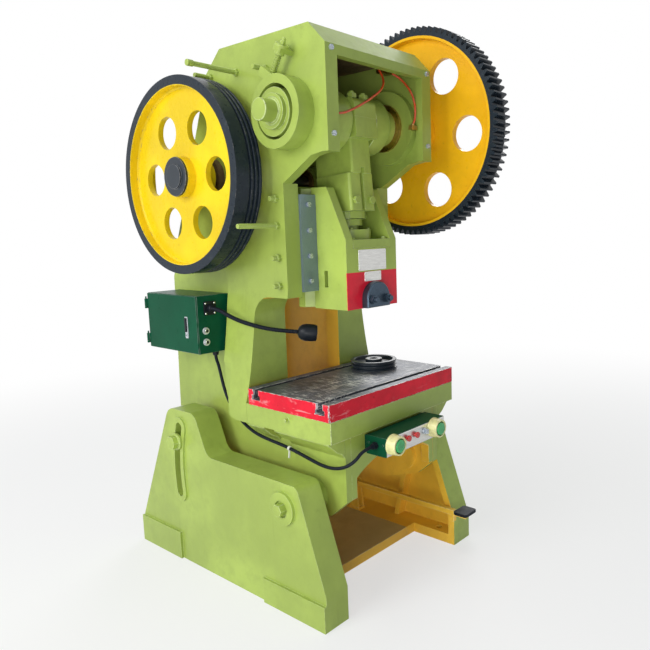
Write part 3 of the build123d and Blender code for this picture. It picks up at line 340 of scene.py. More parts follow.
def table_top(name, base):
    """Worn planed steel with long scratches, dull stains and pale edges; the pale scratches and flecks are
    wear, made pale as painted highlights
    """
    s = Shade(name, Specular_IOR_Level=0.3)
    planed = s.noise(60.0, 3.0, 0.6, stretch=(0.15, 6, 1))
    clouds = s.noise(5.0, 6.0, 0.62)
    blotch = s.noise(22.0, 5.0, 0.7, shift=(4, 4, 0))
    paint = s.mix(clouds.above(0.35, 0.68), tone(base, 0.62), tone(base, 1.35))
    paint = s.mix(blotch.above(0.58, 0.72) * 0.45, paint, (0.046, 0.042, 0.046))
    wear_and_glint = None
    for turn, shift in ((0.12, (0, 0, 0)), (0.9, (2, 1, 0)), (-0.5, (5, 3, 0)), (1.9, (1, 7, 0))):
        point = s.node("ShaderNodeMapping", None, {
            0: s.point, "Location": shift, "Rotation": (0, 0, turn), "Scale": (1.4, 55, 1)})
        line = s.node("ShaderNodeTexNoise", None, {"Vector": point, "Scale": 3.0, "Detail": 2.0}, "Fac")
        scratch = line.above(0.665, 0.70)
        wear_and_glint = scratch if wear_and_glint is None else wear_and_glint + scratch
    wear_and_glint = (wear_and_glint * s.noise(3.0, 2.0).above(0.40, 0.60)).clamped()
    # Zones in the middle and at the left front corner where the pale scratches and flecks are strongest: wear
    # and painted highlight
    middle = ((s.x + 0.06) * (s.x + 0.06) * 0.45 + (s.y + 0.02) * (s.y + 0.02)) ** 0.5
    corner = ((s.x + 0.33) * (s.x + 0.33) + (s.y + 0.16) * (s.y + 0.16) * 0.4) ** 0.5
    wear_and_highlight = (middle.below(0.02, 0.14) + corner.below(0.03, 0.20)).clamped()
    flecks = s.noise(85.0, 5.0, 0.75, stretch=(1, 0.25, 1), shift=(2, 6, 0)).above(0.52, 0.58)
    flecks = flecks * (wear_and_highlight * 0.85 + 0.15)
    # Pale scratches and flecks: marks of wear on the steel, with a painted highlight in their pale colour
    paint = s.mix((wear_and_glint * (wear_and_highlight * 0.60 + 0.40) + flecks * 0.95).clamped(), paint, (0.78, 0.77, 0.75))
    edge = s.edge()
    rim = (edge * s.noise(30.0, 4.0, 0.6).above(0.38, 0.60)).clamped()
    paint = s.mix(rim, paint, (0.62, 0.60, 0.58))
    s.feed("Base Color", paint)
    s.feed("Metallic", (wear_and_glint * 0.3 + rim * 0.3 + 0.22).clamped())
    s.feed("Roughness", (clouds * 0.24 + blotch * 0.18 + 0.20 - wear_and_glint * 0.08).clamped())
    s.feed("Normal", s.bump(planed * 0.7 + blotch * 0.3 - wear_and_glint * 0.6, 0.0008, 0.6))
    return s.material


def table_red(name, base):
    """Red enamel with pale rubs and scratches, most of them at the left end"""
    s = Shade(name, Coat_Weight=0.05, Coat_Roughness=0.25, Specular_IOR_Level=0.15)
    clouds = s.noise(7.0, 5.0, 0.6)
    paint = s.mix(clouds.above(0.36, 0.70), tone(base, 0.80), tone(base, 1.12))
    end = s.x.below(-0.36, -0.20)
    rub = s.noise(16.0, 6.0, 0.72, stretch=(1, 0.5, 1.6), shift=(3, 0, 2)).above(0.56, 0.68)
    line = s.noise(60.0, 3.0, 0.6, stretch=(0.1, 0.1, 1.0), shift=(0, 4, 1)).above(0.64, 0.70)
    paint = s.mix(((rub * 0.55 + line * 0.5) * (0.12 + end * 0.88)).clamped(), paint, (0.80, 0.42, 0.44))
    paint = s.mix(s.noise(34.0, 5.0, 0.7, shift=(8, 1, 5)).above(0.62, 0.72) * 0.5, paint, tone(base, 0.30))
    edge = s.edge()
    chip = (edge * s.noise(48.0, 5.0, 0.7, shift=(1, 5, 2)).above(0.46, 0.54)).clamped()
    paint = s.mix(chip, paint, (0.62, 0.58, 0.57))
    s.feed("Base Color", paint)
    s.feed("Roughness", (rub * 0.2 + chip * 0.2 + 0.30).clamped())
    s.feed("Normal", s.bump(s.noise(26.0, 3.0) * 0.6 - chip * 0.4 + clouds * 0.3, 0.0014, 0.5))
    return s.material


def wheel_paint(name, base, centre_y, centre_z, rim_radius):
    """Yellow web inside a black rim, with a brushed line between them"""
    s = Shade(name, Coat_Weight=0.05, Coat_Roughness=0.10, Specular_IOR_Level=0.18)
    dy, dz = s.y - centre_y, s.z - centre_z
    radius = (dy * dy + dz * dz) ** 0.5
    wobble = s.noise(16.0, 3.0) * 0.001
    rim = (radius + wobble).above(rim_radius, rim_radius + 0.002)
    clouds = s.noise(4.0, 5.0, 0.6)
    spots = s.noise(46.0, 5.0, 0.65)
    yellow = s.mix(clouds.above(0.36, 0.70), tone(base, 0.84), tone(base, 1.05))
    yellow = s.mix(spots.above(0.62, 0.78) * 0.5, yellow, tone(base, 0.30))
    black = s.mix(spots.above(0.55, 0.75) * 0.6, colours().black, (0.045, 0.055, 0.065))
    paint = s.mix(rim, yellow, black)
    edge = s.edge()
    chip = (edge * s.noise(60.0, 4.0, 0.7, shift=(1, 5, 2)).above(0.56, 0.60) * 0.5).clamped()
    paint = s.mix(chip, paint, (0.16, 0.15, 0.14))
    s.feed("Base Color", paint)
    s.feed("Roughness", (spots * 0.18 + clouds * 0.08 + 0.16 + chip * 0.2).clamped())
    s.feed("Normal", s.bump(s.noise(30.0, 3.0) * 0.6 + spots * 0.4, 0.0022, 0.45))
    return s.material


def ram_paint(name, base):
    """Green cheeks, with the lower part of the front painted red"""
    red_top, red_face = 1.1625, -0.1010
    s = Shade(name, Coat_Weight=0.12, Coat_Roughness=0.12, Specular_IOR_Level=0.28)
    clouds = s.noise(5.0, 5.0, 0.6)
    spots = s.noise(46.0, 5.0, 0.65)
    wobble = s.noise(40.0, 3.0) * 0.003
    red_zone = ((s.z + wobble).below(red_top, red_top + 0.0015)
                * (s.y + wobble).below(red_face, red_face + 0.0020))
    green = s.mix(clouds.above(0.36, 0.70), tone(base, 0.88), tone(base, 1.08))
    green = s.mix(spots.above(0.62, 0.80) * 0.4, green, tone(base, 0.40))
    red = s.mix(clouds.above(0.40, 0.70), tone(colours().red, 0.8), tone(colours().red, 1.1))
    paint = s.mix(red_zone, green, red)
    edge = s.edge()
    chip = (edge * s.noise(70.0, 4.0, 0.7).above(0.56, 0.60) * 0.7).clamped()
    paint = s.mix(chip, paint, (0.20, 0.19, 0.17))
    s.feed("Base Color", paint)
    s.feed("Roughness", (spots * 0.18 + 0.24 + chip * 0.2).clamped())
    s.feed("Normal", s.bump(s.noise(30.0, 3.0) * 0.6 + spots * 0.4, 0.0020, 0.45))
    return s.material


def raw_casting(name, base):
    """Brown scale of a casting that was never painted"""
    s = Shade(name)
    crust = s.noise(55.0, 6.0, 0.7)
    patches = s.noise(14.0, 4.0, 0.6)
    paint = s.mix(patches.above(0.38, 0.66), (0.120, 0.075, 0.040), base)
    s.feed("Base Color", s.mix(crust.above(0.58, 0.72) * 0.7, paint, (0.045, 0.035, 0.028)))
    s.feed("Metallic", patches * 0.3)
    s.feed("Roughness", (crust * 0.3 + 0.45).clamped())
    s.feed("Normal", s.bump(crust, 0.0030, 0.8))
    return s.material


recipes = {
    "green enamel": (enamel, "green", dict(oil=0.12)),
    # Yellow enamel takes the inner yellow, with its painted shade and painted light
    "yellow enamel": (enamel, "inner_yellow_painted_light", dict(rough=0.40, grime=0.35, cast=1.2)),
    "dusty enamel": (enamel, "dusty", dict(rough=0.62, grime=1.0, coat=0.0)),
    "red enamel": (table_red, "red", {}),
    "black enamel": (enamel, "black", dict(cast=0.4, chips=0.7, under=(0.30, 0.29, 0.28), shine=0.3)),
    "box enamel": (enamel, "dark_green",
                   dict(rough=0.30, cast=0.25, chips=0.3, grime=0.25, coat=0.02, shine=0.07)),
    "table steel": (table_top, "table_steel", {}),
    "ground steel": (bare_steel, "ground_steel",
                     dict(rough=0.30, grain=(30, 30, 0.6), stain=0.35, metal=0.45)),
    "oiled steel": (bare_steel, "dark_steel", dict(rough=0.34, grain=(1, 1, 6), stain=0.5)),
    "plated steel": (bare_steel, "plated_steel", dict(rough=0.26, grain=(1, 1, 3), stain=0.25, metal=0.45)),
    "brushed alloy": (bare_steel, "alloy", dict(rough=0.32, grain=(0.4, 1, 22), stain=0.2)),
    "bronze": (bare_steel, "bronze", dict(rough=0.28, grain=(4, 1, 1), stain=0.4)),
    "raw casting": (raw_casting, "casting", {}),
    "blue steel": (bare_steel, "blue_steel", dict(rough=0.36, grain=(1, 1, 6), stain=0.45, metal=0.75)),
    "chrome": (bare_steel, "chrome", dict(rough=0.10, grain=(1, 1, 1), stain=0.08)),
    "satin steel": (bare_steel, "satin_steel", dict(rough=0.34, grain=(1, 1, 1), stain=0.1, metal=0.3)),
    "frosted lens": (plastic, "lens", dict(rough=0.22, texture=0.6, coat=0.5)),
    "flywheel paint": (wheel_paint, "yellow", dict(centre_y=shaft_y, centre_z=shaft_z, rim_radius=0.3185)),
    "gear paint": (wheel_paint, "gear_yellow_painted_shade", dict(centre_y=0.0, centre_z=crank_z, rim_radius=0.3775)),
    "ram enamel": (ram_paint, "green", {}),
    "black rubber": (plastic, "rubber", dict(rough=0.50, texture=0.7, shine=0.16)),
    "black plastic": (plastic, "black_plastic", dict(rough=0.38, texture=0.4, shine=0.2)),
    "white plastic": (plastic, "white_plastic", dict(rough=0.40, texture=0.2)),
    "cream plastic": (plastic, "cream", dict(rough=0.28, texture=0.12, coat=0.3)),
    "green plastic": (plastic, "button_green", dict(rough=0.26, texture=0.12, coat=0.4)),
    "red plastic": (plastic, "button_red", dict(rough=0.24, texture=0.12, coat=0.4)),
    "hose plastic": (plastic, "hose", dict(rough=0.28, texture=0.15, coat=0.3)),
}


# Mesh building

def cleaned(node):
    """A copy of a frame piece's mesh with its triangles merged back into faces"""
    bm = bmesh.new()
    bm.from_mesh(frame["nodes"][node].data)
    bmesh.ops.remove_doubles(bm, verts=bm.verts[:], dist=0.00002)
    bmesh.ops.dissolve_limit(bm, angle_limit=math.radians(0.8), verts=bm.verts[:], edges=bm.edges[:])
    return bm


def rounded(bm, width, segments=3, angle=28.0):
    """Bevels the sharp edges and marks the new faces for the wear of the paint and a painted highlight along
    the edges
    """
    mark = bm.faces.layers.float.get("edge") or bm.faces.layers.float.new("edge")
    sharp = [e for e in bm.edges if len(e.link_faces) == 2 and e.calc_face_angle() > math.radians(angle)]
    if sharp and width > 0:
        made = bmesh.ops.bevel(bm, geom=sharp, offset=width, offset_type="OFFSET", segments=segments,
                               profile=0.5, affect="EDGES", clamp_overlap=True, loop_slide=True, material=-1)
        for face in made["faces"]:
            face[mark] = 1.0
    return bm


def piece(name, bm, materials, body, rule=None, smooth=38.0):
    """A finished object from a bmesh, riding on a body

    The rule takes a face's centre and normal and gives the number of its finish in materials.
    """
    if rule:
        bm.normal_update()
        for face in bm.faces:
            face.material_index = rule(face.calc_center_median(), face.normal)
    for face in bm.faces:
        face.smooth = True
    for e in bm.edges:
        e.smooth = len(e.link_faces) == 2 and e.calc_face_angle(0) < math.radians(smooth)
    mesh = bpy.data.meshes.new(name)
    bm.to_mesh(mesh)
    bm.free()
    for m in materials:
        mesh.materials.append(finish(m))
    made = bpy.data.objects.new(name, mesh)
    bpy.context.scene.collection.objects.link(made)
    weighted = made.modifiers.new("normals", "WEIGHTED_NORMAL")
    weighted.keep_sharp = True
    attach(made, body)
    return made


def in_place_of(node, bm, materials, rule=None, suffix="finished", smooth=38.0):
    """A finished object that takes the place of one of the frame's pieces"""
    made = piece(node + "_" + suffix, bm, materials, body_of[node], rule, smooth)
    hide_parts(node)


def soften(node, width, materials, rule=None, segments=3, angle=28.0):
    """The frame's piece with rounded edges, in place of the frame's own"""
    in_place_of(node, rounded(cleaned(node), width, segments, angle), materials, rule)


def soften_each(rows):
    """Pieces of one finish, from rows of node, width and finish, then segments and angle if they differ"""
    for node, width, name, *rest in rows:
        soften(node, width, [name], None, *rest)


def metres(profile):
    """A profile that is written in millimetres"""
    return [(radius * mm, height * mm) for radius, height in profile]


def turned(profile, place, axis, segments):
    """A solid of revolution from (radius, height) pairs in metres"""
    bm = bmesh.new()
    verts = [bm.verts.new((r, 0, h)) for r, h in profile]
    edges = [bm.edges.new(pair) for pair in zip(verts, verts[1:])]
    bmesh.ops.spin(bm, geom=verts + edges, cent=(0, 0, 0), axis=(0, 0, 1), angle=math.tau, steps=segments,
                   use_merge=True)
    bmesh.ops.remove_doubles(bm, verts=bm.verts[:], dist=0.000001)
    bmesh.ops.recalc_face_normals(bm, faces=bm.faces[:])
    turn = Z.rotation_difference(axis).to_matrix().to_4x4()
    bmesh.ops.transform(bm, matrix=Matrix.Translation(Vector(place)) @ turn, verts=bm.verts[:])
    return bm


def swept(path, radii, sides):
    """A round tube along points, as thick at each of them as its radius says"""
    data = bpy.data.curves.new("sweep", "CURVE")
    data.dimensions = "3D"
    line = data.splines.new("POLY")
    line.points.add(len(path) - 1)
    for point, place, radius in zip(line.points, path, radii):
        point.co, point.radius = (*place, 1.0), radius
    data.bevel_depth = 1.0
    data.bevel_resolution = sides // 2 - 2
    data.use_fill_caps = True
    holder = bpy.data.objects.new("sweep", data)
    mesh = bpy.data.meshes.new_from_object(holder)
    bm = bmesh.new()
    bm.from_mesh(mesh)
    bpy.data.meshes.remove(mesh)
    bpy.data.objects.remove(holder)
    bpy.data.curves.remove(data)
    bmesh.ops.remove_doubles(bm, verts=bm.verts[:], dist=0.00001)
    bmesh.ops.recalc_face_normals(bm, faces=bm.faces[:])
    return bm


def coil(place, axis, radius, wire, length, pitch, per_turn, sides):
    """A wire or a thread wound round an axis"""
    bm = bmesh.new()
    upright = Matrix.Translation((radius, 0, 0)) @ Matrix.Rotation(math.pi / 2, 4, "X")
    bmesh.ops.create_circle(bm, radius=wire, segments=sides, matrix=upright)
    turns = length / pitch
    steps = int(turns * per_turn)
    bmesh.ops.spin(bm, geom=bm.verts[:] + bm.edges[:], cent=(0, 0, 0), axis=(0, 0, 1),
                   dvec=(0, 0, length / steps), angle=math.tau * turns, steps=steps, use_merge=False)
    bmesh.ops.holes_fill(bm, edges=[e for e in bm.edges if e.is_boundary], sides=0)
    bmesh.ops.recalc_face_normals(bm, faces=bm.faces[:])
    turn = Z.rotation_difference(Vector(axis)).to_matrix().to_4x4()
    bmesh.ops.transform(bm, matrix=Matrix.Translation(Vector(place)) @ turn, verts=bm.verts[:])
    return bm


def block(low, high, radius, along):
    """A box, with the edges along one direction rounded"""
    bm = bmesh.new()
    bmesh.ops.create_cube(bm, size=1)
    low, high = Vector(low), Vector(high)
    bmesh.ops.scale(bm, vec=high - low, verts=bm.verts[:])
    bmesh.ops.translate(bm, vec=(low + high) / 2, verts=bm.verts[:])
    edges = [e for e in bm.edges if abs((e.verts[0].co - e.verts[1].co).normalized().dot(along)) > 0.99]
    bmesh.ops.bevel(bm, geom=edges, offset=radius, segments=4, profile=0.5, affect="EDGES", material=-1)
    return bm


def merged(*parts):
    """Several bmeshes as one"""
    out = bmesh.new()
    for part in parts:
        mesh = bpy.data.meshes.new("part")
        part.to_mesh(mesh)
        part.free()
        out.from_mesh(mesh)
        bpy.data.meshes.remove(mesh)
    return out


def dome(place, axis, radius, height):
    """The round head of a rivet or a small screw"""
    profile = [(radius * math.cos(a), height * math.sin(a)) for a in (math.pi / 2 * k / 6 for k in range(7))]
    return turned([(radius, -0.0006)] + profile[:-1] + [(0.0, height)], place, axis, 20)


def bare_plate(name, centre, width, height, body):
    """A blank plate with four rivets on a face that looks to the front"""
    x, y, z = centre
    front, back, inset = y - 0.0012, y + 0.0002, 0.007
    sheet = block((x - width / 2, front, z - height / 2), (x + width / 2, back, z + height / 2), 0.004, Y)
    rounded(sheet, 0.0003, 1)
    rivets = [dome((x + sx * (width / 2 - inset), front, z + sz * (height / 2 - inset)), -Y, 0.0028, 0.0016)
              for sx in (-1, 1) for sz in (-1, 1)]
    return piece(name, merged(sheet, *rivets), ["brushed alloy"], body)


def faces_middle(centre, normal):
    """Looks towards the press's middle plane"""
    return normal.x * centre.x < -facing * abs(centre.x)


# Operators, one for each group of pieces

class PRESS_OT_legs(bpy.types.Operator):
    """Legs, floor plate and pedal"""
    bl_idname = "press.legs"
    bl_label = "Legs and pedal"

    def execute(self, context):
        boss_radius, rim_x, off_face, outside_x = 0.085, 0.400, 0.012, 0.6
        for node, side in (("leg_left", -1), ("leg_right", 1)):
            bm = rounded(cleaned(node), sizes().casting_round)
            tree = BVHTree.FromBMesh(bm)

            def leg_rule(centre, normal, side=side, tree=tree):
                """Green outside, yellow inside and wherever the web hides a face from outside"""
                if math.hypot(centre.y - pivot_y, centre.z - pivot_z) < boss_radius:
                    return 0
                if normal.x * side < -facing:
                    return 1
                if normal.x * side > facing:
                    return 0
                start = Vector((side * outside_x, centre.y + normal.y * off_face,
                                centre.z + normal.z * off_face))
                hit = tree.ray_cast(start, Vector((-side, 0, 0)), 0.3)
                return 1 if hit[0] is not None and abs(centre.x) < rim_x else 0

            in_place_of(node, bm, ["green enamel", "yellow enamel"], leg_rule)
        soften("floor_plate", 0.0015, ["dusty enamel", "yellow enamel"], lambda c, n: 0 if n.z > 0.5 else 1)
        pins, web_x = [], 0.390
        shaft_and_hexagon = ((0.0300, 48, 0.2150, 0.4210), (0.0225, 6, 0.4205, 0.4470))
        for side in (-1, 1):
            for radius, corners, near, far in shaft_and_hexagon:
                pin = bmesh.new()
                place = Matrix.Translation((side * (near + far) / 2, pivot_y, pivot_z))
                bmesh.ops.create_cone(pin, cap_ends=True, segments=corners, radius1=radius, radius2=radius,
                                      depth=far - near, matrix=place @ Matrix.Rotation(math.pi / 2, 4, "Y"))
                pins.append(rounded(pin, 0.0015 if corners == 6 else 0.0))
        in_place_of("pivot_pins", merged(*pins), ["green enamel", "yellow enamel"],
                    lambda c, n: 1 if abs(c.x) < web_x else 0)
        soften_each((
            ("pedal_bracket", 0.002, "yellow enamel"),
            ("pedal_lever", 0.002, "yellow enamel"),
            ("pedal_pad", 0.002, "black rubber")))
        return {"FINISHED"}


class PRESS_OT_body(bpy.types.Operator):
    """Side plates, bed, head, guide housing and ties"""
    bl_idname = "press.body"
    bl_label = "Frame castings"

    def execute(self, context):
        r = sizes().casting_round
        pair = ["green enamel", "yellow enamel"]
        boss_face, boss_radius, plate_inner_x = -0.2765, 0.078, 0.2355
        yellow_top, yellow_top_inside, slope_start = 1.18, 1.30, 0.55

        def side_rule(c, n):
            """Green outside and on the edges in sight, yellow inside, raw metal on the shaft's left boss"""
            if c.x < boss_face and math.hypot(c.y - shaft_y, c.z - shaft_z) < boss_radius:
                return 2
            in_head = c.z > (yellow_top_inside if abs(c.x) < 0.20 else yellow_top)
            front_edge = n.y < -0.5 and not (c.z < slope_start and c.y > -0.12)
            rear_edge = n.y > 0.5 and c.y > 0.60
            if in_head or front_edge or rear_edge:
                return 0
            return 1 if faces_middle(c, n) or abs(c.x) < plate_inner_x else 0

        def bed_rule(c, n):
            """Yellow under the bed and behind its arched wall"""
            behind_wall = n.y > 0.5 and c.z < 0.60
            underside = n.z < -0.5 and abs(c.x) < 0.24
            under_arch = abs(n.y) < 0.3 and abs(c.x) < 0.22 and c.z < 0.56
            return 1 if behind_wall or underside or under_arch else 0

        def head_rule(c, n):
            """Raw metal on the ceiling of the window"""
            return 1 if n.z < -0.3 and c.z > 1.6 and c.y > -0.10 else 0

        for node in ("frame_side_left", "frame_side_right"):
            bm = cleaned(node)
            bmesh.ops.bisect_plane(bm, geom=bm.verts[:] + bm.edges[:] + bm.faces[:],
                                   plane_co=(0, 0, yellow_top), plane_no=Z)
            in_place_of(node, rounded(bm, r), pair + ["raw casting"], side_rule)
        soften("frame_bed", r, pair, bed_rule)
        soften("frame_head_shell", r, ["green enamel", "raw casting"], head_rule)
        soften("frame_guide_housing", r, pair, lambda c, n: 1 if n.z < -0.5 else 0)
        soften("frame_rear_ties", r, pair, lambda c, n: 1 if n.y < -0.2 else 0)
        return {"FINISHED"}


class PRESS_OT_table(bpy.types.Operator):
    """Bolster plate and the two-groove belt pulley that lies on it"""
    bl_idname = "press.table"
    bl_label = "Table"

    def execute(self, context):
        half_width, half_depth = 0.345, 0.205

        def bolster_rule(c, n):
            """Red on the four outer edges, bare steel elsewhere and in the slots"""
            outer = max(abs(n.x) * (abs(c.x) > half_width), abs(n.y) * (abs(c.y) > half_depth))
            return 1 if outer > 0.8 else 0

        soften("bolster", 0.0016, ["table steel", "red enamel"], bolster_rule, 2)
        outline = metres((
            (15, 0.2), (92.5, 0.2), (94, 1.7), (94, 5), (86, 8.5), (86, 12.5), (94, 16), (94, 20),
            (86, 23.5), (86, 27.5), (94, 31), (94, 34.5), (92.8, 36), (79.4, 36), (78, 34.6), (76.5, 23.5),
            (74, 22), (37, 22), (34.6, 24), (34, 36.8), (33, 38), (16.4, 38), (15, 36.6), (15, 0.2)))
        wheel = turned(outline, (pulley_x, pulley_y, table_z), Z, 96)
        # The hub's top is marked like an edge, so the black enamel gives it chips and pale rubs: wear, with a
        # painted highlight in the rubs
        wear_and_glint = wheel.faces.layers.float.new("edge")
        for face in wheel.faces:
            centre = face.calc_center_median()
            on_hub = 0.016 < math.hypot(centre.x - pulley_x, centre.y - pulley_y) < 0.0345
            face[wear_and_glint] = 1.0 if on_hub and centre.z > table_z + 0.0355 else 0.0
        piece("loose_pulley", wheel, ["black enamel"], "frame", smooth=30.0)
        return {"FINISHED"}


class PRESS_OT_drive(bpy.types.Operator):
    """Gear, flywheel, crankshaft, rod and brake"""
    bl_idname = "press.drive"
    bl_label = "Drive"

    def execute(self, context):
        fine = sizes().plate_round
        soften_each((
            ("bull_gear", 0.0016, "gear paint", 2, 32),
            ("flywheel", 0.0020, "flywheel paint", 2),
            ("flywheel_cap", fine, "black enamel", 2),
            ("pinion_shaft", fine, "oiled steel", 2, 32),
            ("crankshaft", 0.003, "green enamel"),
            ("brake_drum", fine, "green enamel", 2),
            ("crank_end_nut", fine, "black enamel", 2),
            ("connecting_rod", 0.004, "green enamel"),
            ("rod_cap", 0.004, "green enamel"),
            ("rod_bolts", fine, "green enamel", 2),
            ("ball_screw", fine, "green enamel", 2),
            ("ring_nut", fine, "green enamel", 2),
            ("brake_band", 0.002, "green enamel"),
            ("brake_bolt", fine, "green enamel", 2)))
        lean = math.atan2(68, 104)
        axis = Vector((0, -math.sin(lean), math.cos(lean)))
        foot = Vector((-0.313, 0.035, 1.823)) + axis * 0.0105
        wound = coil(foot, axis, radius=0.0096, wire=0.0017, length=0.0590, pitch=0.0084, per_turn=24,
                     sides=10)
        in_place_of("brake_spring", wound, ["green enamel"], suffix="wound")
        soften_each((
            ("crank_bushes", fine, "bronze", 2),
            ("pinion_bushes", fine, "bronze", 2)))
        return {"FINISHED"}


class PRESS_OT_guide(bpy.types.Operator):
    """Ram, gibs, screws and shank clamp"""
    bl_idname = "press.guide"
    bl_label = "Ram and guide"

    def execute(self, context):
        fine = sizes().plate_round
        soften_each((
            ("ram", 0.0025, "ram enamel", 2),
            ("ball_cap", 0.0025, "green enamel", 2),
            ("shank_clamp", 0.0016, "blue steel", 2)))
        bare_plate("ram_plate_upper", (0.000, -0.1040, 1.2035), 0.150, 0.076, "ram")
        bare_plate("ram_plate_lower", (0.000, -0.1040, 1.1435), 0.090, 0.035, "ram")
        soften_each((
            ("gib_left", fine, "ground steel", 2),
            ("gib_right", fine, "ground steel", 2),
            ("gib_adjusters", 0.0010, "green enamel", 2),
            ("hex_screws", 0.0010, "plated steel", 2),
            ("head_studs", 0.0010, "green enamel", 2)))
        adjusters = [((-0.289, 0.088, z), length)
                     for z, length in ((1.121, 0.017), (1.220, 0.017), (1.332, 0.153), (1.425, 0.017))]
        studs = [((-0.286, y, z), length)
                 for y, z, length in ((0.271, 1.875, 0.165), (0.425, 1.880, 0.056), (0.110, 1.861, 0.044))]
        threads = [coil(place, -X, radius=0.0079, wire=0.0009, length=length, pitch=sizes().thread_pitch,
                        per_turn=16, sides=4) for place, length in adjusters + studs]
        piece("screw_threads", merged(*threads), ["green enamel"], "frame")
        soften("tilt_clamp_bolts", 0.0016, ["green enamel"], None, 2)
        return {"FINISHED"}


class PRESS_OT_electrics(bpy.types.Operator):
    """Cabinet, lamp, control box and buttons"""
    bl_idname = "press.electrics"
    bl_label = "Electrics"

    def execute(self, context):
        fold = sizes().sheet_round
        ring_radius, cap_radius, keyhole_radius = 0.0135, 0.0050, 0.0026
        handle_z, panel_y = 0.9412, -0.25
        soften("cabinet_box", fold, ["box enamel", "satin steel"],
               lambda c, n: 1 if c.y < cabinet_front and abs(c.x - button_x) < ring_radius else 0)
        soften("cabinet_door", fold, ["box enamel"])
        button = metres((
            (0, -0.6), (3.8, -0.6), (5.6, 0.2), (6.2, 1.6), (7.4, 1.6), (8, 0.8), (8, -14), (0, -14)))
        for node, z in (("cabinet_button_upper", 0.947), ("cabinet_button_lower", 0.904)):
            knob = turned(button, (button_x, button_y, z), -Y, 40)
            in_place_of(node, knob, ["chrome", "black plastic"],
                        lambda c, n, z=z: 1 if math.hypot(c.x - button_x, c.z - z) < cap_radius else 0,
                        "turned")

        plate = rounded(block((latch_x, 0.474, 0.918), (-0.4060, 0.492, 1.000), 0.004, X), 0.0005, 2)
        handle = rounded(block((-0.4135, 0.478, 0.942), (-0.4080, 0.488, 0.996), 0.003, X), 0.0012, 2)
        lock = metres(((0, 1.2), (2.4, 1.2), (2.8, 2.6), (5.4, 2.6), (6, 2), (6, -0.4), (0, -0.4)))
        barrel = turned(lock, (latch_x, latch_y, barrel_z), -X, 32)

        def latch_rule(c, n):
            """Black handle and keyhole, satin plate and ring"""
            on_handle = c.z > handle_z and c.x < latch_x - 0.0002
            in_keyhole = math.hypot(c.y - latch_y, c.z - barrel_z) < keyhole_radius
            return 1 if on_handle or in_keyhole else 0

        piece("door_latch", merged(plate, handle, barrel), ["satin steel", "black plastic"],
              body_of["cabinet_door"], latch_rule)

        tip, back = Vector((-0.190, 0.106, 0.944)), Vector((-0.238, 0.144, 0.952))
        ahead = (tip - back).normalized()
        lens_ahead, lens_radius = 0.066, 0.0255

        def lens_rule(c, n):
            """The lens at the mouth of the lamp's shade"""
            along = (c - tip).dot(ahead)
            off_axis = (c - tip - ahead * along).length
            return 1 if n.dot(ahead) > 0.9 and along > lens_ahead and off_axis < lens_radius else 0

        soften("lamp_head", 0.0025, ["black plastic", "frosted lens"], lens_rule)
        soften("control_box", fold, ["box enamel", "brushed alloy"],
               lambda c, n: 1 if n.y < -0.8 and c.y < panel_y else 0)
        soften_each((
            ("button_cups", 0.0012, "cream plastic", 2),
            ("palm_button_left", 0.0020, "green plastic"),
            ("palm_button_right", 0.0020, "green plastic"),
            ("red_button_left", 0.0010, "red plastic"),
            ("red_button_right", 0.0010, "red plastic"),
            ("key_switch", 0.0006, "plated steel", 2)))
        return {"FINISHED"}


# Routes in millimetres, the same control points as the part's tubes, and radii in metres
cable_radius, hose_radius = 0.0060, 0.0040
cable_route = (
    (-318, 438, 844), (-318, 438, 830), (-309, 437, 803), (-303, 436, 768), (-298, 432, 728),
    (-296, 418, 684), (-295, 390, 642), (-297, 346, 606), (-301, 290, 579), (-304, 226, 561),
    (-301, 156, 551), (-298, 88, 544), (-297, 20, 534), (-298, -44, 523), (-300, -106, 513),
    (-301, -164, 512), (-292, -212, 522), (-266, -238, 542), (-232, -245, 573), (-186, -245, 573))
hose_left_route = (
    (-185, -120, 1700), (-150, -120, 1702), (-106, -123, 1719), (-50, -125, 1746), (6, -123, 1777),
    (54, -119, 1806), (84, -110, 1838), (92, -95, 1868), (88, -80, 1896))
hose_right_route = (
    (198, -149, 1700), (209, -150, 1714), (214, -150, 1740), (216, -148, 1772), (214, -140, 1806),
    (208, -124, 1838), (200, -104, 1864), (186, -88, 1882), (162, -80, 1890))
neck_route = (
    (-350, 398, 1031), (-350, 352, 1029), (-338, 305, 1004), (-319, 250, 984), (-283, 187, 964),
    (-238, 144, 952), (-190, 106, 944))


def spline(name, route, radius=0.0):
    """A NURBS curve with the route's points as its control points"""
    data = bpy.data.curves.new(name, "CURVE")
    data.dimensions = "3D"
    data.resolution_u = 10
    line = data.splines.new("NURBS")
    line.points.add(len(route) - 1)
    for point, place in zip(line.points, route):
        point.co = (*(Vector(place) * mm), 1.0)
    line.order_u = 3
    line.use_endpoint_u = True
    data.bevel_depth = radius
    data.bevel_resolution = 5
    data.use_fill_caps = radius > 0
    return data


def points_of(route, step):
    """Points at even steps along the route's own spline"""
    data = spline("route", route)
    holder = bpy.data.objects.new("route", data)
    mesh = bpy.data.meshes.new_from_object(holder)
    line = [v.co.copy() for v in mesh.vertices]
    bpy.data.meshes.remove(mesh)
    bpy.data.objects.remove(holder)
    bpy.data.curves.remove(data)
    out, rest = [line[0]], step
    for one, two in zip(line, line[1:]):
        run = (two - one).length
        while run >= rest:
            out.append(one.lerp(two, rest / run))
            one, run, rest = out[-1], run - rest, step
        rest -= run
    return out


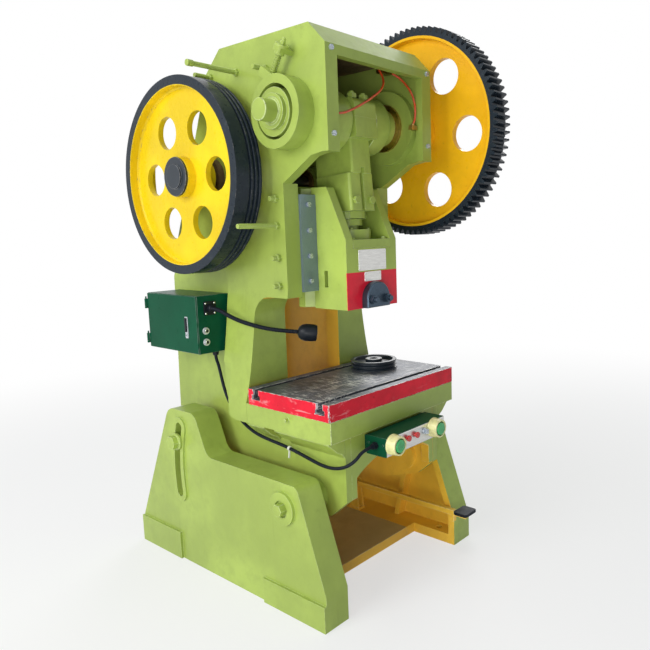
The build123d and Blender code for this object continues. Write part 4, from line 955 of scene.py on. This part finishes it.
class PRESS_OT_cords(bpy.types.Operator):
    """Control cable, grease hoses and the lamp's bent arm"""
    bl_idname = "press.cords"
    bl_label = "Cable, hoses and lamp arm"

    def execute(self, context):
        for node, route, radius, material in (
                ("control_cable", cable_route, cable_radius, "black rubber"),
                ("hose_left", hose_left_route, hose_radius, "hose plastic"),
                ("hose_right", hose_right_route, hose_radius, "hose plastic")):
            data = spline(node + "_line", route, radius)
            data.materials.append(finish(material))
            line = bpy.data.objects.new(node + "_line", data)
            context.scene.collection.objects.link(line)
            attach(line, "frame")
            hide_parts(node)
        soften_each((
            ("cable_glands", 0.0008, "black plastic", 2),
            ("cable_tie", 0.0004, "white plastic", 2),
            ("grease_fittings", 0.0008, "bronze", 2)))

        per_ring = 6
        path = points_of(neck_route, sizes().neck_pitch / per_ring)
        radii = [0.0068 + 0.0013 * abs(math.sin(math.pi * i / per_ring)) ** 0.7 for i in range(len(path))]
        neck = swept(path, radii, 14)
        profile = metres(((0, 4), (10.5, 4), (12.5, 2.5), (13.8, -2), (14, -17), (0, -17)))
        sleeve = turned(profile, (lamp_x, lamp_y, lamp_z), -Y, 32)
        half, inset, front = 0.026, 0.007, 0.409
        foot = block((lamp_x - half, front, lamp_z - half), (lamp_x + half, cabinet_front, lamp_z + half),
                     0.005, Y)
        rounded(foot, 0.0008, 2)
        reach = half - inset
        places = [(lamp_x + dx, lamp_z + dz) for dx in (-reach, reach) for dz in (-reach, reach)]
        screws = [dome((x, front - 0.0002, z), -Y, 0.0042, 0.0026) for x, z in places]

        def arm_rule(c, n):
            """Chrome screws on a plastic foot and sleeve, and a rubber neck"""
            near_screw = any(math.hypot(c.x - x, c.z - z) < 0.0045 for x, z in places)
            if near_screw and 0.404 < c.y < front + 0.0001:
                return 2
            return 1 if c.y > 0.392 else 0

        in_place_of("lamp_arm", merged(neck, sleeve, foot, *screws),
                    ["black rubber", "black plastic", "chrome"], arm_rule, "bent", 50.0)
        return {"FINISHED"}


# Stage

camera_place = Vector((-1.7670, -1.6876, 1.3169))
camera_yaw, camera_pitch, camera_roll = 51.6, -7.62, -1.18
camera_focal_px, camera_centre_px = 644.63, (412.71, 313.68)
frame_px, sensor_mm = 650, 36
fill_level, fill_colour = 0.15, (0.86, 1.0, 1.0)
lights_aim = Vector((0, 0.2, 1.0))
soft_lights = (         # name, place, side of the square in metres, watts
    ("left softbox", (-4.4, 0.4, 2.7), 2.8, 150),
    ("low softbox", (-2.9, -2.5, 0.7), 1.6, 50),
    ("top softbox", (-0.4, 0.4, 5.2), 2.6, 70),
    ("back softbox", (3.6, 2.2, 3.3), 2.4, 72))


class PRESS_OT_stage(bpy.types.Operator):
    """Floor, soft lights and the camera"""
    bl_idname = "press.stage"
    bl_label = "Stage"

    def execute(self, context):
        scene = context.scene
        bm = bmesh.new()
        bmesh.ops.create_grid(bm, x_segments=1, y_segments=1, size=sizes().floor_size / 2)
        mesh = bpy.data.meshes.new("floor")
        bm.to_mesh(mesh)
        bm.free()
        floor = bpy.data.objects.new("floor", mesh)
        scene.collection.objects.link(floor)
        s = Shade("floor", Roughness=0.9, Specular_IOR_Level=0.1)
        base = colours().floor
        s.feed("Base Color", s.mix(s.noise(0.8, 4.0), tone(base, 0.985), tone(base, 1.01)))
        away = (s.x * s.x + s.y * s.y) ** 0.5
        share = s.seen() * (away.above(1.2, 5.0) * 0.38 + 0.62)
        glow = s.node("ShaderNodeEmission", None, {"Strength": 1.0})
        lit = Value(s, s.shader.outputs[0])
        both = s.node("ShaderNodeMixShader", None, {0: share, 1: lit, 2: glow})
        s.tree.links.new(both.socket, s.tree.nodes["Material Output"].inputs[0])
        mesh.materials.append(s.material)

        world = bpy.data.worlds.new("studio")
        scene.world = world
        world.use_nodes = True
        sky = Nodes(world.node_tree)
        back = world.node_tree.nodes["Background"]
        seen = sky.seen()
        strength = seen * (1.0 - fill_level) + fill_level
        sky.tree.links.new(strength.socket, back.inputs["Strength"])
        sky.tree.links.new(sky.mix(seen, fill_colour, (1, 1, 1)).socket, back.inputs["Color"])

        for name, place, size, power in soft_lights:
            lamp = bpy.data.lights.new(name, "AREA")
            lamp.shape, lamp.size, lamp.energy = "SQUARE", size, power
            holder = bpy.data.objects.new(name, lamp)
            holder.location = place
            holder.rotation_euler = (lights_aim - Vector(place)).to_track_quat("-Z", "Y").to_euler()
            scene.collection.objects.link(holder)

        yaw, pitch, roll = (math.radians(a) for a in (camera_yaw, camera_pitch, camera_roll))
        ahead = Vector((math.sin(yaw) * math.cos(pitch), math.cos(yaw) * math.cos(pitch), math.sin(pitch)))
        right = ahead.cross(Z).normalized()
        up = right.cross(ahead)
        right_rolled = right * math.cos(roll) + up * math.sin(roll)
        up_rolled = up * math.cos(roll) - right * math.sin(roll)
        data = bpy.data.cameras.new("camera")
        data.sensor_width = sensor_mm
        data.lens = camera_focal_px * sensor_mm / frame_px
        data.shift_x = (frame_px / 2 - camera_centre_px[0]) / frame_px
        data.shift_y = (camera_centre_px[1] - frame_px / 2) / frame_px
        camera = bpy.data.objects.new("camera", data)
        turn = Matrix((right_rolled, up_rolled, -ahead)).transposed()
        camera.matrix_world = Matrix.Translation(camera_place) @ turn.to_4x4()
        scene.collection.objects.link(camera)
        scene.camera = camera

        scene.view_settings.view_transform = "Standard"
        return {"FINISHED"}


class PRESS_PT_panel(bpy.types.Panel):
    """The steps that dress the press"""
    bl_idname = "PRESS_PT_panel"
    bl_label = "Stamping press"
    bl_space_type = "VIEW_3D"
    bl_region_type = "UI"
    bl_category = "Press"

    def draw(self, context):
        for operator in steps:
            self.layout.operator(operator.bl_idname)
        for group in (sizes(), colours()):
            for key in group.__annotations__:
                self.layout.prop(group, key)


steps = (PRESS_OT_stage, PRESS_OT_cords, PRESS_OT_legs, PRESS_OT_body, PRESS_OT_table, PRESS_OT_drive,
         PRESS_OT_guide, PRESS_OT_electrics)
classes = (PressSizes, PressColours, *steps, PRESS_PT_panel)


def register():
    for cls in classes:
        bpy.utils.register_class(cls)
    bpy.types.Scene.press_sizes = bpy.props.PointerProperty(type=PressSizes)
    bpy.types.Scene.press_colours = bpy.props.PointerProperty(type=PressColours)


def unregister():
    del bpy.types.Scene.press_colours
    del bpy.types.Scene.press_sizes
    for cls in reversed(classes):
        bpy.utils.unregister_class(cls)


def main():
    register()
    for operator in steps:
        group, name = operator.bl_idname.split(".")
        getattr(getattr(bpy.ops, group), name)()


if __name__ == "__main__":
    main()
